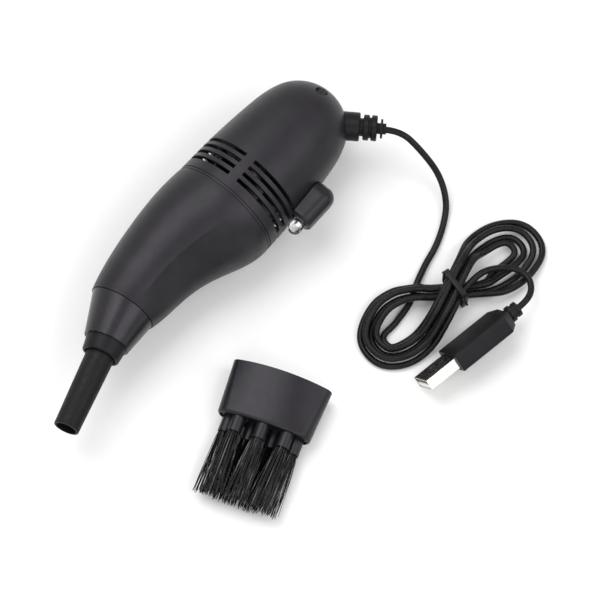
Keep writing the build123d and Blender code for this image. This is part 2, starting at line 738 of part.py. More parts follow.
def thumb_slide():
    """Rounded thumb piece on the body's side, with a stem through the wall and a seat for the lamp."""
    side = Plane(origin=(0, 0, 0), x_dir=(1, 0, 0), z_dir=(0, -1, 0))
    pod = Pos(0, -BODY_R / 2, 0) * (side * extrude(pod_outline(), BODY_R / 2 + POD_RISE))
    top = pod.faces().sort_by(Axis.Y)[0]
    long_edges = [edge for edge in top.edges() if edge.center().X > POD_FRONT_X + OVERRUN]
    pod = fillet(long_edges, POD_EDGE)
    front = [edge for edge in pod.edges() if abs(edge.center().X - POD_FRONT_X) < POD_FRONT_EDGE / 2]
    front = [edge for edge in front if edge.center().Y < -BODY_R]
    pod = fillet(front, POD_FRONT_EDGE)
    clearance = rear_solid(-SOFT_GAP)
    pod -= clearance
    pod -= Pos(SLIDE_TRAVEL, 0, 0) * clearance
    stem = block(STEM_X - STEM_LENGTH / 2, STEM_X + STEM_LENGTH / 2, -BODY_R - OVERRUN, -SWITCH_TOP - SEAT_GAP,
                 -STEM_W / 2, STEM_W / 2)
    pod += stem
    pod -= block(STEM_X - LEVER_W / 2 - FIT, STEM_X + LEVER_W / 2 + FIT, -SWITCH_TOP - LEVER_RISE - FIT, 0,
                 -LEVER_W / 2 - FIT, LEVER_W / 2 + FIT)
    pod -= rod_x(LAMP_RIM_R + FIT, POD_FRONT_X - OVERRUN, POD_FRONT_X + LAMP_RIM_T, -LAMP_Y)
    for side_sign in (-1, 1):
        pod -= leg(side_sign, FIT)
    return pod


def leg(side, gap):
    """One leg of the lamp."""
    x0 = POD_FRONT_X + LAMP_RIM_T - FIT * 2
    half = LEG_W / 2 + gap
    z = side * LEG_SPACING / 2
    return block(x0 + FIT * 2, x0 + LEG_LENGTH + gap, -LAMP_Y - half, -LAMP_Y + half, z - half, z + half)


def lamp():
    """Clear 5 mm lamp: rim, barrel and round nose."""
    rim_back = POD_FRONT_X + LAMP_RIM_T - FIT
    nose = POD_FRONT_X - LAMP_LENGTH + LAMP_R
    body = rod_x(LAMP_RIM_R, rim_back - LAMP_RIM_T, rim_back, -LAMP_Y)
    body += rod_x(LAMP_R, nose, rim_back, -LAMP_Y)
    return body + Pos(nose, -LAMP_Y, 0) * Sphere(LAMP_R)


def lamp_legs():
    return Compound([leg(-1, 0), leg(1, 0)])


def switch_body():
    """Slide switch case with three solder pins on its inner side."""
    half = SWITCH_LENGTH / 2
    low = -(SWITCH_TOP - SWITCH_H)
    case = block(STEM_X - half, STEM_X + half, -SWITCH_TOP, low, -SWITCH_W / 2, SWITCH_W / 2)
    case -= block(STEM_X - LEVER_W / 2 - SLIDE_TRAVEL - SEAT_GAP, STEM_X + LEVER_W / 2 + SEAT_GAP,
                  -SWITCH_TOP - OVERRUN, low - SWITCH_H / 3, -LEVER_W / 2 - SEAT_GAP, LEVER_W / 2 + SEAT_GAP)
    pin = SWITCH_PIN_W / 2
    for index in (-1, 0, 1):
        x = STEM_X + index * SWITCH_PIN_PITCH
        case += block(x - pin, x + pin, low, low + SWITCH_PIN_LENGTH, -pin, pin)
    return case


def switch_lever():
    """Square lever of the slide switch, held in the stem."""
    half = LEVER_W / 2
    floor = SWITCH_TOP - SWITCH_H * 2 / 3 + SEAT_GAP
    return block(STEM_X - half, STEM_X + half, -SWITCH_TOP - LEVER_RISE, -floor, -half, half)


def relief_profile(steps, start):
    """Face to be turned about the relief's axis: radius and thickness of each step."""
    points = [(0, start)]
    height = start
    for radius, thickness in steps:
        points.append((radius, height))
        height += thickness
        points.append((radius, height))
    points.append((0, height))
    return make_face(Polyline(*points, close=True))


def relief_height():
    """Length of the strain relief outside the housing."""
    ribs = RELIEF_RIB_T * 2 + RELIEF_GROOVE_T
    return RELIEF_FLANGE_T + RELIEF_WAIST_T + ribs + RELIEF_NOSE_T + RELIEF_FIN_T


def strain_relief():
    """Ribbed grommet where the cord leaves the dome, with a collar inside the wall."""
    steps = [
        (RELIEF_FLANGE_R, RELIEF_FLANGE_T * 2),
        (RELIEF_WAIST_R, RELIEF_WAIST_T),
        (RELIEF_RIB_R, RELIEF_RIB_T),
        (RELIEF_GROOVE_R, RELIEF_GROOVE_T),
        (RELIEF_RIB_R, RELIEF_RIB_T),
        (RELIEF_NOSE_R, RELIEF_NOSE_T / 2),
        (RELIEF_FIN_R, RELIEF_FIN_T),
        (RELIEF_NOSE_R, RELIEF_NOSE_T / 2),
    ]
    outside = revolve(relief_profile(steps, -RELIEF_FLANGE_T), Axis.Y)
    turned = outside.edges().filter_by(GeomType.CIRCLE)
    fat = [e for e in turned if e.radius in (RELIEF_RIB_R, RELIEF_FLANGE_R) and e.center().Y > 0]
    outside = fillet(fat, RELIEF_ROUND)
    plane = relief_plane()
    upright = Rot(90, 0, 0)
    outside = plane * (upright * outside)
    outside -= rear_solid(0)
    neck = plane * Cylinder(RELIEF_NECK_R, BODY_R)
    neck &= rear_solid(-FIT) - rear_solid(WALL + RELIEF_INNER_T)
    inner = plane * Cylinder(RELIEF_INNER_R, BODY_R)
    inner &= rear_solid(WALL + FIT) - rear_solid(WALL + RELIEF_INNER_T)
    return outside + neck + inner


def brush_place():
    """Where the brush lies: its own Z runs from the mouth to the bristles along the table."""
    angle = radians(BRUSH_ANGLE)
    heading = Vector(cos(angle), sin(angle), 0)
    side = Vector(-sin(angle), cos(angle), 0)
    return Plane(origin=(BRUSH_X, BRUSH_Y, CUP_MOUTH_T / 2), x_dir=side, z_dir=heading)


def bow_r(half_width, half_thickness, end_r):
    """Radius of the long arcs of an oval that has round ends."""
    return ((half_width - end_r) ** 2 + half_thickness ** 2 - end_r ** 2) / (half_thickness - end_r) / 2


def oval(half_width, half_thickness, end_r):
    """Oval of two long arcs and two round ends."""
    radius = bow_r(half_width, half_thickness, end_r)
    bow = Pos(0, half_thickness - radius) * Circle(radius) & Pos(0, radius - half_thickness) * Circle(radius)
    return fillet(bow.vertices(), end_r)


def cup_form(inset, start, end):
    """Tapered oval block between two distances from the mouth."""
    sections = []
    for distance in (start, end):
        share = distance / CUP_LENGTH
        width = CUP_MOUTH_W + (CUP_END_W - CUP_MOUTH_W) * share
        thickness = CUP_MOUTH_T + (CUP_END_T - CUP_MOUTH_T) * share
        end_r = CUP_MOUTH_R + (CUP_END_R - CUP_MOUTH_R) * share - inset
        drop = (CUP_MOUTH_T - CUP_END_T) / 2 * share
        sections.append(Pos(0, -drop, distance) * oval(width / 2 - inset, thickness / 2 - inset, end_r))
    return loft(sections, ruled=True)


def brush_cup():
    """Oval cup with a round socket for the nozzle in its mouth."""
    form = cup_form(0, 0, CUP_LENGTH)
    form = fillet(form.edges().group_by(Axis.Z)[-1], CUP_EDGE)
    cup = form - cup_form(CUP_WALL, DECK_DEPTH + DECK_T, CUP_LENGTH + OVERRUN)
    cup -= cup_form(CUP_WALL, -OVERRUN, DECK_DEPTH)
    sleeve_end = DECK_DEPTH + SOCKET_LENGTH
    sleeve = Pos(0, 0, sleeve_end / 2) * Cylinder(SOCKET_R + SOCKET_WALL, sleeve_end)
    cup += sleeve & cup_form(CUP_WALL / 2, 0, CUP_LENGTH)
    cup -= Pos(0, 0, sleeve_end / 2) * Cylinder(SOCKET_R, sleeve_end + OVERRUN * 2)
    return cup


def row_z(x):
    """Height of a ferrule's middle in the upper row, a rim inside the plate's long arc."""
    radius = bow_r(CUP_END_W / 2, CUP_END_T / 2, CUP_END_R)
    reach = radius - CUP_WALL - FIT - PLATE_RIM - FERRULE_R
    return CUP_END_T / 2 - radius + sqrt(reach ** 2 - x ** 2)


def tuft_places():
    """Centres of the seven tufts: three in the upper row, four in the lower."""
    upper = [TUFT_PITCH_UPPER * index for index in (-1, 0, 1)]
    lower = [TUFT_PITCH_LOWER * (index + 1 / 2) for index in (-2, -1, 0, 1)]
    return [(x, row_z(x)) for x in upper] + [(x, -row_z(x)) for x in lower]


def plate_middle():
    """Height of the bristle plate's axis below the mouth's axis."""
    return -(CUP_MOUTH_T - CUP_END_T) / 2


def brush_plate():
    """Plate that closes the cup, with seven ferrules and the air holes between them."""
    end = CUP_LENGTH - PLATE_INSET
    plate = cup_form(CUP_WALL + FIT, end - PLATE_T, end)
    for x, y in tuft_places():
        place = Pos(x, y + plate_middle(), (CUP_LENGTH + FERRULE_OUT + end - PLATE_T) / 2)
        plate += place * Cylinder(FERRULE_R, FERRULE_OUT + CUP_LENGTH - end + PLATE_T)
    for x, y in tuft_places():
        plate -= Pos(x, y + plate_middle(), CUP_LENGTH + FERRULE_OUT) * Cylinder(
            FERRULE_R - FERRULE_WALL, BRISTLE_ROOT_T * 2)
    aside = TUFT_PITCH_UPPER / 2
    for x, y in ((-aside, row_z(aside)), (aside, row_z(aside)), (0, -row_z(0))):
        plate -= Pos(x, y + plate_middle(), end) * Cylinder(AIR_HOLE_R, (PLATE_T + OVERRUN) * 2)
    return plate


def strand(cx, cy, x, y, index):
    """One four-sided bristle from the ferrule's mouth to its ragged tip, x and y from the tuft's middle."""
    base = CUP_LENGTH + FERRULE_OUT - BRISTLE_ROOT_T / 2
    tip = CUP_LENGTH + BRISTLE_LENGTH + BRISTLE_RAGGED * sin(index * RAGGED_TURN + cx)
    middle = plate_middle()
    low = Pos(cx + x, cy + y + middle, base) * Rectangle(BRISTLE_W, BRISTLE_W)
    tip_x = cx * TUFT_SPREAD_SHARE + x * BRISTLE_SPREAD_SHARE
    tip_y = cy * TUFT_RISE_SHARE + y * BRISTLE_RISE_SHARE
    high = Pos(tip_x, tip_y + middle, tip) * Rectangle(BRISTLE_W, BRISTLE_W)
    return loft([low, high], ruled=True)


def tuft(place, number):
    """One tuft: strands on a hexagonal grid, standing on a slice of their root."""
    cx, cy = place
    radius = FERRULE_R - FERRULE_WALL - FIT
    root = Pos(cx, cy + plate_middle(), CUP_LENGTH + FERRULE_OUT - BRISTLE_ROOT_T / 2) * Cylinder(
        radius, BRISTLE_ROOT_T - FIT)
    strands = []
    rows = ceil(radius / (BRISTLE_PITCH * sqrt(3) / 2))
    for row in range(-rows, rows + 1):
        for column in range(-rows, rows + 1):
            x = (column + (row % 2) / 2) * BRISTLE_PITCH
            y = row * BRISTLE_PITCH * sqrt(3) / 2
            if x * x + y * y < (radius - BRISTLE_W) ** 2:
                strands.append(strand(cx, cy, x, y, len(strands) + number))
    return root.fuse(*strands), len(strands)


def floor_z():
    """Height of the cord's middle when it lies on the table."""
    return CORD_D / 2


def tie_inside():
    """Height of the lowest strand's middle at the tie."""
    return TIE_T + SOFT_GAP + CORD_D / 2


def heading(angle):
    """Unit vector in the table's plane."""
    return Vector(cos(radians(angle)), sin(radians(angle)), 0)


def under_y(x, offset):
    """Place across the crossing of a pass of the first bundle, which runs up to the left."""
    return (offset - x * sin(radians(CROSS_ANGLE))) / cos(radians(CROSS_ANGLE))


def over_y(x, offset):
    """Place across the crossing of a pass of the second bundle, which runs up to the right."""
    return (offset + x * sin(radians(CROSS_ANGLE))) / cos(radians(CROSS_ANGLE))


def hank_stations():
    """Places and headings along the figure-eight, in the hank's own frame.

    The left loops turn anticlockwise and the right loops clockwise, so a loop that is small on the
    left is large on the right. Odd passes ride one layer up, and the second bundle crosses over the
    first."""
    stations = []
    floor = floor_z()
    last = HANK_TURNS
    low = tie_inside()
    over = low + HANK_LAYER + STRAND_STEP
    far_cross = (last - 1 / 2) * CROSS_PITCH + CLEAR_RUN
    back = 180 - CROSS_ANGLE
    for turn in range(last + 1):
        left = last - turn
        up = (turn % 2) * HANK_LAYER
        half = LEFT_HALF - left * HANK_PACK
        if turn > 0:
            offset = (turn - (last + 1) / 2) * CROSS_PITCH
            raised = floor + STRAND_STEP + up
            come = far_cross - left * HANK_STAGGER
            leave = (turn - 1) * HANK_STAGGER - RISE_START
            near = leave - RISE_RUN
            stations.append((come, under_y(come, offset), low + up, back))
            stations.append((leave, under_y(leave, offset), low + up, back))
            stations.append((near, under_y(near, offset) - RISE_DROP * (left + 1), raised, RISE_ANGLE))
            stations.append((-RISE_END, half - RISE_DROP * 4, raised, 180))
            stations.append((left * HANK_PACK - LEFT_REACH, -LEFT_APEX_Y, floor + up, 270))
        else:
            stations.append((INNER_START_X, INNER_START_Y, floor, INNER_START_ANGLE))
            stations.append((left * HANK_PACK - LEFT_REACH, -INNER_APEX_Y, floor, 270))
        stations.append((-LEFT_FLANK, -half, floor + up, 0))
        offset = (last / 2 - turn) * CROSS_PITCH
        enter = turn * HANK_STAGGER - far_cross
        stations.append((enter, over_y(enter, offset), over + up, CROSS_ANGLE))
        if turn < last:
            leave = far_cross - left * LEAVE_STAGGER
            stations.append((leave, over_y(leave, offset), over + up, CROSS_ANGLE))
            top = RIGHT_TOP - turn * RIGHT_TOP_PITCH
            reach = RIGHT_REACH - turn * RIGHT_REACH_PITCH
            bottom = RIGHT_BOTTOM - turn * RIGHT_BOTTOM_PITCH
            settle = floor + (HANK_LAYER - up) * SETTLE_SHARE
            stations.append((RIGHT_TOP_FLANK, top, floor + up, 0))
            stations.append((reach, (top - bottom) / 2, floor + up / 2, 270))
            stations.append((RIGHT_BOTTOM_FLANK, -bottom, settle, 180))
    stations.append((OUT_X, OUT_Y, over, OUT_ANGLE))
    return stations


def biarc(start, leaving, end, arriving):
    """Middle point and tangent where two arcs of equal reach join start to end."""
    gap = end - start
    both = leaving + arriving
    square = 2 * (1 - leaving.dot(arriving))
    linear = 2 * gap.dot(both)
    if square < STRAIGHT ** 2:
        reach = gap.dot(gap) / (2 * gap.dot(arriving) * 2)
    else:
        reach = (-linear + sqrt(linear * linear + 4 * square * gap.dot(gap))) / (2 * square)
    first = start + leaving * reach
    second = end - arriving * reach
    return (first + second) / 2


def hank_line():
    """The hank's centre line as a list of arcs, and its ends."""
    stations = [(Vector(x, y, z), heading(angle)) for x, y, z, angle in hank_stations()]
    edges = []
    for (start, leaving), (end, arriving) in zip(stations, stations[1:]):
        if leaving.cross(end - start).length < STRAIGHT and leaving.cross(arriving).length < STRAIGHT:
            edges.append(Line(start, end))
            continue
        middle = biarc(start, leaving, end, arriving)
        first = TangentArc(start, middle, tangent=leaving)
        edges.append(first)
        edges.append(TangentArc(middle, end, tangent=first % 1))
    start, leaving = stations[0]
    end, arriving = stations[-1]
    lead_in = Line(start - leaving * CORD_D, start)
    lead_out = Line(end, end + arriving * CORD_D)
    return [lead_in] + edges + [lead_out]


def hank_place():
    return Location((HANK_X, HANK_Y, 0), (0, 0, HANK_ANGLE))


def least_gap(points):
    """Least gap of a tube of points to itself, between points over two diameters apart along it."""
    best = None
    travelled = [0]
    for a, b in zip(points, points[1:]):
        travelled.append(travelled[-1] + (b - a).length)
    for i, a in enumerate(points):
        for j in range(i + 1, len(points)):
            if travelled[j] - travelled[i] < CORD_D * 3:
                continue
            gap = (points[j] - a).length - CORD_D
            if best is None or gap < best[0]:
                best = (gap, a, points[j])
    return best


def cord_hank():
    """Figure-eight hank: one unbroken tube through all its loops."""
    edges = hank_line()
    wire = Wire(edges)
    start = wire @ 0
    section = Plane(origin=start, z_dir=wire % 0) * Circle(CORD_D / 2)
    solid = sweep(section, path=wire)
    points = []
    for edge in edges:
        count = max(2, ceil(edge.length / CORD_D * 2))
        points += [edge @ (index / count) for index in range(count)]
    gap = least_gap(points)
    radii = [edge.radius for edge in edges if edge.geom_type == GeomType.CIRCLE]
    print("hank: length", round(wire.length, 1), "least gap", round(gap[0], 2), "at", gap[1], gap[2])
    print("hank: least radius", round(min(radii), 2), "arcs", len(radii))
    print("hank: volume share", round(solid.volume / (wire.length * pi * CORD_D ** 2 / 4), 4))
    return hank_place() * solid


def tube(points, name):
    """A cord stretch: straight runs joined by arcs as large as the runs allow."""
    corners = [Vector(*point) for point in points]
    radii = []
    for before, corner, after in zip(corners, corners[1:], corners[2:]):
        turn = (corner - before).get_angle(after - corner)
        run = min((corner - before).length, (after - corner).length)
        radii.append(ARC_SHARE * run / tan(radians(turn / 2)))
    path = FilletPolyline(*corners, radius=radii)
    section = Plane(origin=corners[0], z_dir=corners[1] - corners[0]) * Circle(CORD_D / 2)
    solid = sweep(section, path=path)
    print(name, "length", round(path.length, 1), "radii", [round(r, 1) for r in radii])
    print(name, "volume share", round(solid.volume / (path.length * pi * CORD_D ** 2 / 4), 4))
    return solid


def lead_points():
    """From the strain relief down to the table and under the hank's first bundle."""
    plane = relief_plane()
    start = plane.origin + plane.z_dir * relief_height() + Vector(0, 0, BODY_R)
    leaving = start + plane.z_dir * LEAD_EXIT
    place = hank_place()
    inlet = hank_line()[0]
    inside = [hank_point(place, Vector(*point)) for point in LEAD_HANK_ROUTE]
    before = hank_point(place, (inlet @ 0) - (inlet % 0) * CORD_D * 2)
    end = hank_point(place, inlet @ 0)
    return [start, leaving] + [Vector(*point) for point in LEAD_ROUTE] + inside + [before, end]


def tail_points():
    """From the hank's last pass over its right loops to the plug."""
    place = hank_place()
    outlet = hank_line()[-1]
    start = hank_point(place, outlet @ 1)
    after = hank_point(place, (outlet @ 1) + (outlet % 1) * TAIL_RUN)
    inside = [hank_point(place, Vector(*point)) for point in TAIL_HANK_ROUTE]
    plug = plug_place()
    end = plug.origin - plug.z_dir * plug_length()
    before = end - plug.z_dir * TAIL_END
    return [start, after] + inside + [before, end]


def hank_point(place, point):
    """A point of the hank's own frame in the table's frame."""
    return (place * Pos(point.X, point.Y, point.Z)).position


def cord_tie():
    """Twist tie round the waist of the hank, its two ends twisted together and sticking out."""
    height = tie_inside() + HANK_LAYER * 2 + STRAND_STEP + CORD_D / 2 + SOFT_GAP
    slant = sin(radians(CROSS_ANGLE)) * TIE_W / 2
    half = (CROSS_PITCH * HANK_TURNS / 2 + slant + CORD_D / 2) / cos(radians(CROSS_ANGLE)) + SOFT_GAP
    upright = Plane(origin=(-TIE_W / 2, 0, 0), x_dir=(0, 1, 0), z_dir=(1, 0, 0))
    outer = Pos(0, (height + TIE_T) / 2, 0) * RectangleRounded((half + TIE_T) * 2, height + TIE_T, half / 2)
    inner = Pos(0, (height + TIE_T) / 2, 0) * RectangleRounded(half * 2, height - TIE_T, half / 2 - TIE_T)
    band = upright * extrude(outer - inner, TIE_W)
    for side in (-1, 1):
        tail = Pos(0, side * (half + TIE_T / 2 + TIE_TAIL_LENGTH / 2), height / 2)
        band += tail * Rot(0, TIE_TAIL_TURN, 0) * Box(TIE_TAIL_T, TIE_TAIL_LENGTH, TIE_TAIL_T)
    return hank_place() * band


def plug_place():
    """Plane at the plug's mouth, its normal pointing out of the mouth and its X across the wide side."""
    angle = radians(PLUG_HEADING)
    out = Vector(cos(angle), sin(angle), 0)
    across = Vector(-sin(angle), cos(angle), 0)
    roll = radians(PLUG_ROLL)
    wide = across * cos(roll) + Vector(0, 0, 1) * sin(roll)
    return Plane(origin=(PLUG_X, PLUG_Y, PLUG_Z), x_dir=wide, z_dir=out)


def plug_length():
    return SHELL_LENGTH + OVERMOULD_LENGTH + PLUG_RELIEF_LENGTH


def plug_shell():
    """Folded metal shell with two windows in each wide side."""
    length = SHELL_LENGTH + SHELL_SEAT
    shell = Pos(0, 0, -length / 2) * Box(SHELL_W, SHELL_H, length)
    shell = fillet(shell.edges().filter_by(Axis.Z), SHELL_ROUND)
    shell -= Pos(0, 0, -length / 2) * Box(SHELL_W - SHELL_WALL * 2, SHELL_H - SHELL_WALL * 2, length + OVERRUN)
    for side in (-1, 1):
        shell -= Pos(side * SHELL_WINDOW_X, 0, -SHELL_LENGTH / 2) * Box(SHELL_WINDOW, SHELL_H * 2, SHELL_WINDOW)
    return plug_place() * shell


def plug_insulator():
    """Pale block with a tongue under the contacts, set low in the shell."""
    wide = SHELL_W - SHELL_WALL * 2 - FIT * 2
    length = SHELL_LENGTH + SHELL_SEAT - SOFT_GAP
    low = -SHELL_H / 2 + SHELL_WALL + FIT
    tongue = Pos(0, low + TONGUE_T / 2, -SOFT_GAP - length / 2) * Box(wide, TONGUE_T, length)
    high = SHELL_H - SHELL_WALL * 2 - FIT * 2
    back = Pos(0, 0, -SHELL_LENGTH - SHELL_SEAT / 2) * Box(wide, high, SHELL_SEAT)
    body = tongue + back
    for x in contact_places():
        body -= Pos(x, low + TONGUE_T, -length / 2) * Box(CONTACT_W + FIT * 2, CONTACT_T, length)
    return plug_place() * body


def contact_places():
    middle = (CONTACT_COUNT - 1) / 2
    return [(index - middle) * CONTACT_PITCH for index in range(CONTACT_COUNT)]


def plug_contacts():
    """Four flat contacts let into the tongue."""
    low = -SHELL_H / 2 + SHELL_WALL + FIT + TONGUE_T
    length = SHELL_LENGTH - SOFT_GAP * 4
    strips = [Pos(x, low, -SOFT_GAP * 2 - length / 2) * Box(CONTACT_W, CONTACT_T - FIT, length)
              for x in contact_places()]
    return plug_place() * Compound(strips)


def plug_overmould():
    """Moulded grip with a sloped shoulder and a short ribbed relief."""
    front = -SHELL_LENGTH
    back = front - OVERMOULD_LENGTH
    shoulder = back + OVERMOULD_SHOULDER
    grip = Pos(0, 0, (front + shoulder) / 2) * Box(OVERMOULD_W, OVERMOULD_H, front - shoulder)
    grip = fillet(grip.edges().filter_by(Axis.Z), OVERMOULD_EDGE)
    grip = fillet(grip.edges().group_by(Axis.Z)[-1], OVERMOULD_EDGE / 4)
    wide = Pos(0, 0, shoulder) * RectangleRounded(OVERMOULD_W, OVERMOULD_H, OVERMOULD_EDGE)
    narrow_w = OVERMOULD_W - OVERMOULD_SHOULDER * 2
    narrow = Pos(0, 0, back) * RectangleRounded(narrow_w, PLUG_RELIEF_R * 2, OVERMOULD_EDGE)
    grip += loft([narrow, wide], ruled=True)
    rib_pitch = PLUG_RELIEF_LENGTH / PLUG_RELIEF_RIBS
    for index in range(PLUG_RELIEF_RIBS):
        top = back - index * rib_pitch
        neck = rib_pitch / 2
        grip += Pos(0, 0, top - neck / 2) * Cylinder(PLUG_RELIEF_R - PLUG_RIB_DEPTH, neck)
        grip += Pos(0, 0, top - neck - neck / 2) * Cylinder(PLUG_RELIEF_R - index * PLUG_RIB_DEPTH / 2, neck)
    seat = SHELL_SEAT + FIT
    grip -= Pos(0, 0, front - seat / 2 + OVERRUN / 2) * Box(SHELL_W + FIT * 2, SHELL_H + FIT * 2, seat + OVERRUN)
    return plug_place() * grip


def lifted(solid):
    """Move a piece that was built about the body's axis up to its height over the table."""
    return Pos(0, 0, BODY_R) * solid


def build():
    """All nodes by name, before the move to the final origin."""
    nodes = {}
    for maker in (rear_housing, front_housing, nose_cone, nozzle_collar, nozzle_tube, motor_can,
                  motor_magnets, motor_end_cap, motor_terminals, motor_shaft, rotor_core, rotor_windings,
                  motor_holder, housing_screws, impeller, fan_shroud, filter_frame, filter_cloth,
                  thumb_slide, lamp, lamp_legs, switch_body, switch_lever, strain_relief):
        nodes[maker.__name__] = lifted(maker())
    place = brush_place()
    nodes["brush_cup"] = place * brush_cup()
    nodes["brush_plate"] = place * brush_plate()
    total = 0
    for number, spot in enumerate(tuft_places(), start=1):
        solid, count = tuft(spot, number)
        nodes["bristle_tuft_%d" % number] = place * solid
        total += count
    print("bristles", total)
    nodes["cord_hank"] = cord_hank()
    nodes["cord_lead"] = tube(lead_points(), "lead")
    nodes["cord_tail"] = tube(tail_points(), "tail")
    for maker in (cord_tie, plug_overmould, plug_shell, plug_insulator, plug_contacts):
        nodes[maker.__name__] = maker()
    return nodes


CORD_NODES = ("cord_lead", "cord_hank", "cord_tail", "cord_tie", "plug_overmould", "plug_shell",
              "plug_insulator", "plug_contacts")


def main():
    os.makedirs("parts", exist_ok=True)
    nodes = build()
    own = Compound([solid for name, solid in nodes.items() if name not in CORD_NODES])
    box = own.bounding_box()
    shift = Pos(-(box.min.X + box.max.X) / 2, -(box.min.Y + box.max.Y) / 2, -box.min.Z)
    print("origin moved by", shift.position, "box", box.size)
    for name, solid in nodes.items():
        export_step(shift * solid, "parts/%s.step" % name)


main()
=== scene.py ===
from math import atan2, ceil, cos, pi, radians, sin, sqrt
from random import Random

import bmesh
import bpy
from bpy.props import FloatProperty, FloatVectorProperty, IntProperty, PointerProperty
from mathutils import Matrix, Vector


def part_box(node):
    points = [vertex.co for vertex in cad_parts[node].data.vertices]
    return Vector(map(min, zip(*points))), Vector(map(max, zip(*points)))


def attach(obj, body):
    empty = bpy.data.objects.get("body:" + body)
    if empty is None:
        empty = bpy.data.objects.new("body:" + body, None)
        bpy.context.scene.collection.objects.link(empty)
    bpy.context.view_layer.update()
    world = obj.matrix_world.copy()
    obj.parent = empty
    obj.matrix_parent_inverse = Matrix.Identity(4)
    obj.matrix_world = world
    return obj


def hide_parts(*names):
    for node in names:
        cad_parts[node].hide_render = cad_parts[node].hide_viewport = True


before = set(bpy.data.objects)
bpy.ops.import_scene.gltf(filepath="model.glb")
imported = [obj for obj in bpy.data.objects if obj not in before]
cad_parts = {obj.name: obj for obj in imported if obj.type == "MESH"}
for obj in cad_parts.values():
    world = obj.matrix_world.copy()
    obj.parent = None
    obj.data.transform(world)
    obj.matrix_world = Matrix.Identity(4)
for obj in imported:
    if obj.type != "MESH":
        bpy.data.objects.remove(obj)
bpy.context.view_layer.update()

bl_info = {
    "name": "Keyboard vacuum cleaner",
    "version": (1, 0, 0),
    "blender": (4, 5, 0),
    "location": "View3D > Sidebar > Vacuum",
    "description": "Finishes, cord, tie, bristles and stage of a small desk vacuum cleaner",
    "category": "Object",
}

MM = 0.001

# Sizes shared with the CAD part, in millimetres. x = 0 is the front vent ring, z = 0 is the table.
BODY_R = 22.0
SPIGOT_FRONT = -11.7
CORD_D = 2.5

HOUSING_LOW, HOUSING_HIGH = (Vector(corner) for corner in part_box("rear_housing"))
ORIGIN = Vector((
    HOUSING_LOW.x - SPIGOT_FRONT * MM,
    (HOUSING_LOW.y + HOUSING_HIGH.y) / 2,
    (HOUSING_LOW.z + HOUSING_HIGH.z) / 2 - BODY_R * MM,
))


def placed(x, y, z):
    """A point in millimetres from the build origin, as metres in the row frame."""
    return ORIGIN + Vector((x, y, z)) * MM


# Camera, from the photograph: a long lens high over the table
VIEW_AZIMUTH = -49.5
VIEW_ELEVATION = 68.0
VIEW_WIDTH = 223.9 * MM
VIEW_DISTANCE = 3.0
VIEW_LIMIT = 20.0
VIEW_TARGET = placed(-8.07, -39.35, 0.0)
SENSOR_MM = 36.0

# Studio: for each soft lamp its place to the side, ahead and above, and its width, in metres, then its watts
SOFT_LAMPS = (
    ("key", -0.3, 0.3, 0.85, 0.75, 5.5),
    ("fill", 0.6, -0.2, 0.7, 0.7, 3.0),
    ("front", -0.1, -0.7, 0.6, 0.6, 2.0),
)
AMBIENT = 0.55
TABLE_WIDTH = 6.0
TABLE_CELLS = 8

# Hank of cord: its own frame starts at the crossing
HANK_X = 31.1
HANK_Y = -81.9
HANK_ANGLE = -14.8
HANK_TURNS = 4
HANK_PACK = 2.05
HANK_LAYER = 2.8
HANK_STAGGER = 0.85
CROSS_PITCH = 1.7
LEAVE_STAGGER = 1.4
LEFT_REACH = 41.0
LEFT_HALF = 13.7
LEFT_APEX_Y = 1.5
LEFT_FLANK = 26.5
RIGHT_REACH = 38.6
RIGHT_REACH_PITCH = 3.5
RIGHT_TOP = 15.0
RIGHT_TOP_PITCH = 2.9
RIGHT_BOTTOM = 11.2
RIGHT_BOTTOM_PITCH = 3.4
RIGHT_TOP_FLANK = 22.0
RIGHT_BOTTOM_FLANK = 19.5
CLEAR_RUN = 3.0
RISE_START = 8.0
RISE_RUN = 7.0
RISE_END = 22.0
RISE_DROP = 0.1
RISE_ANGLE = 154.5
CROSS_ANGLE = 30.0
INNER_START_X = -23.0
INNER_START_Y = 3.6
INNER_START_ANGLE = 200.0
INNER_APEX_Y = 2.0
OUT_X = 4.0
OUT_Y = -2.2
OUT_ANGLE = 12.0
STRAND_STEP = 2.95
SETTLE_SHARE = 0.6
SOFT_GAP = 0.3
NEARLY_PARALLEL = 1e-9
CORD_ORDER = 3
CORD_STEPS = 8
CORD_ROUNDNESS = 4

# Twist tie round the hank's waist
TIE_T = 0.6
TIE_W = 2.0
TIE_EDGE = 0.12
TIE_POINTS = 64
TIE_CORNER_SHARE = 0.45
TIE_SQUARE_SHARE = 1.6
TIE_WAVE = 0.25
TIE_WAVES = 3
TIE_TAIL_LENGTH = 1.6
TWIST_STEPS = 14
TWIST_TURNS = 1.1
TWIST_HALF_W = 0.55
TWIST_TAPER_SHARE = 0.2

# Corners of the cord's free stretches: the first list in the table's frame, the others in the hank's
RELIEF_X = 49.4
RELIEF_Y = -12.8
RELIEF_ANGLE = 54.5
RELIEF_LENGTH = 14.7
LEAD_EXIT = 6.0
LEAD_RUN = 7.5
TAIL_RUN = 4.6
TAIL_END = 4.6
LEAD_ROUTE = (
    (62.3, -38.7, 16.0),
    (62.0, -48.2, 8.2),
    (57.2, -56.1, 2.6),
    (49.8, -60.8, 1.25),
    (41.0, -64.4, 1.25),
)
LEAD_HANK_ROUTE = (
    (-2.2, 16.0, 1.25),
    (-10.3, 10.9, 1.25),
)
TAIL_HANK_ROUTE = (
    (16.8, -2.2, 7.5),
    (22.8, -6.0, 6.9),
    (25.1, -11.5, 6.9),
    (23.2, -17.0, 7.7),
)

# Plug
PLUG_X = -6.5
PLUG_Y = -98.1
PLUG_Z = 8.5
PLUG_HEADING = 171.1
PLUG_LENGTH = 46.4

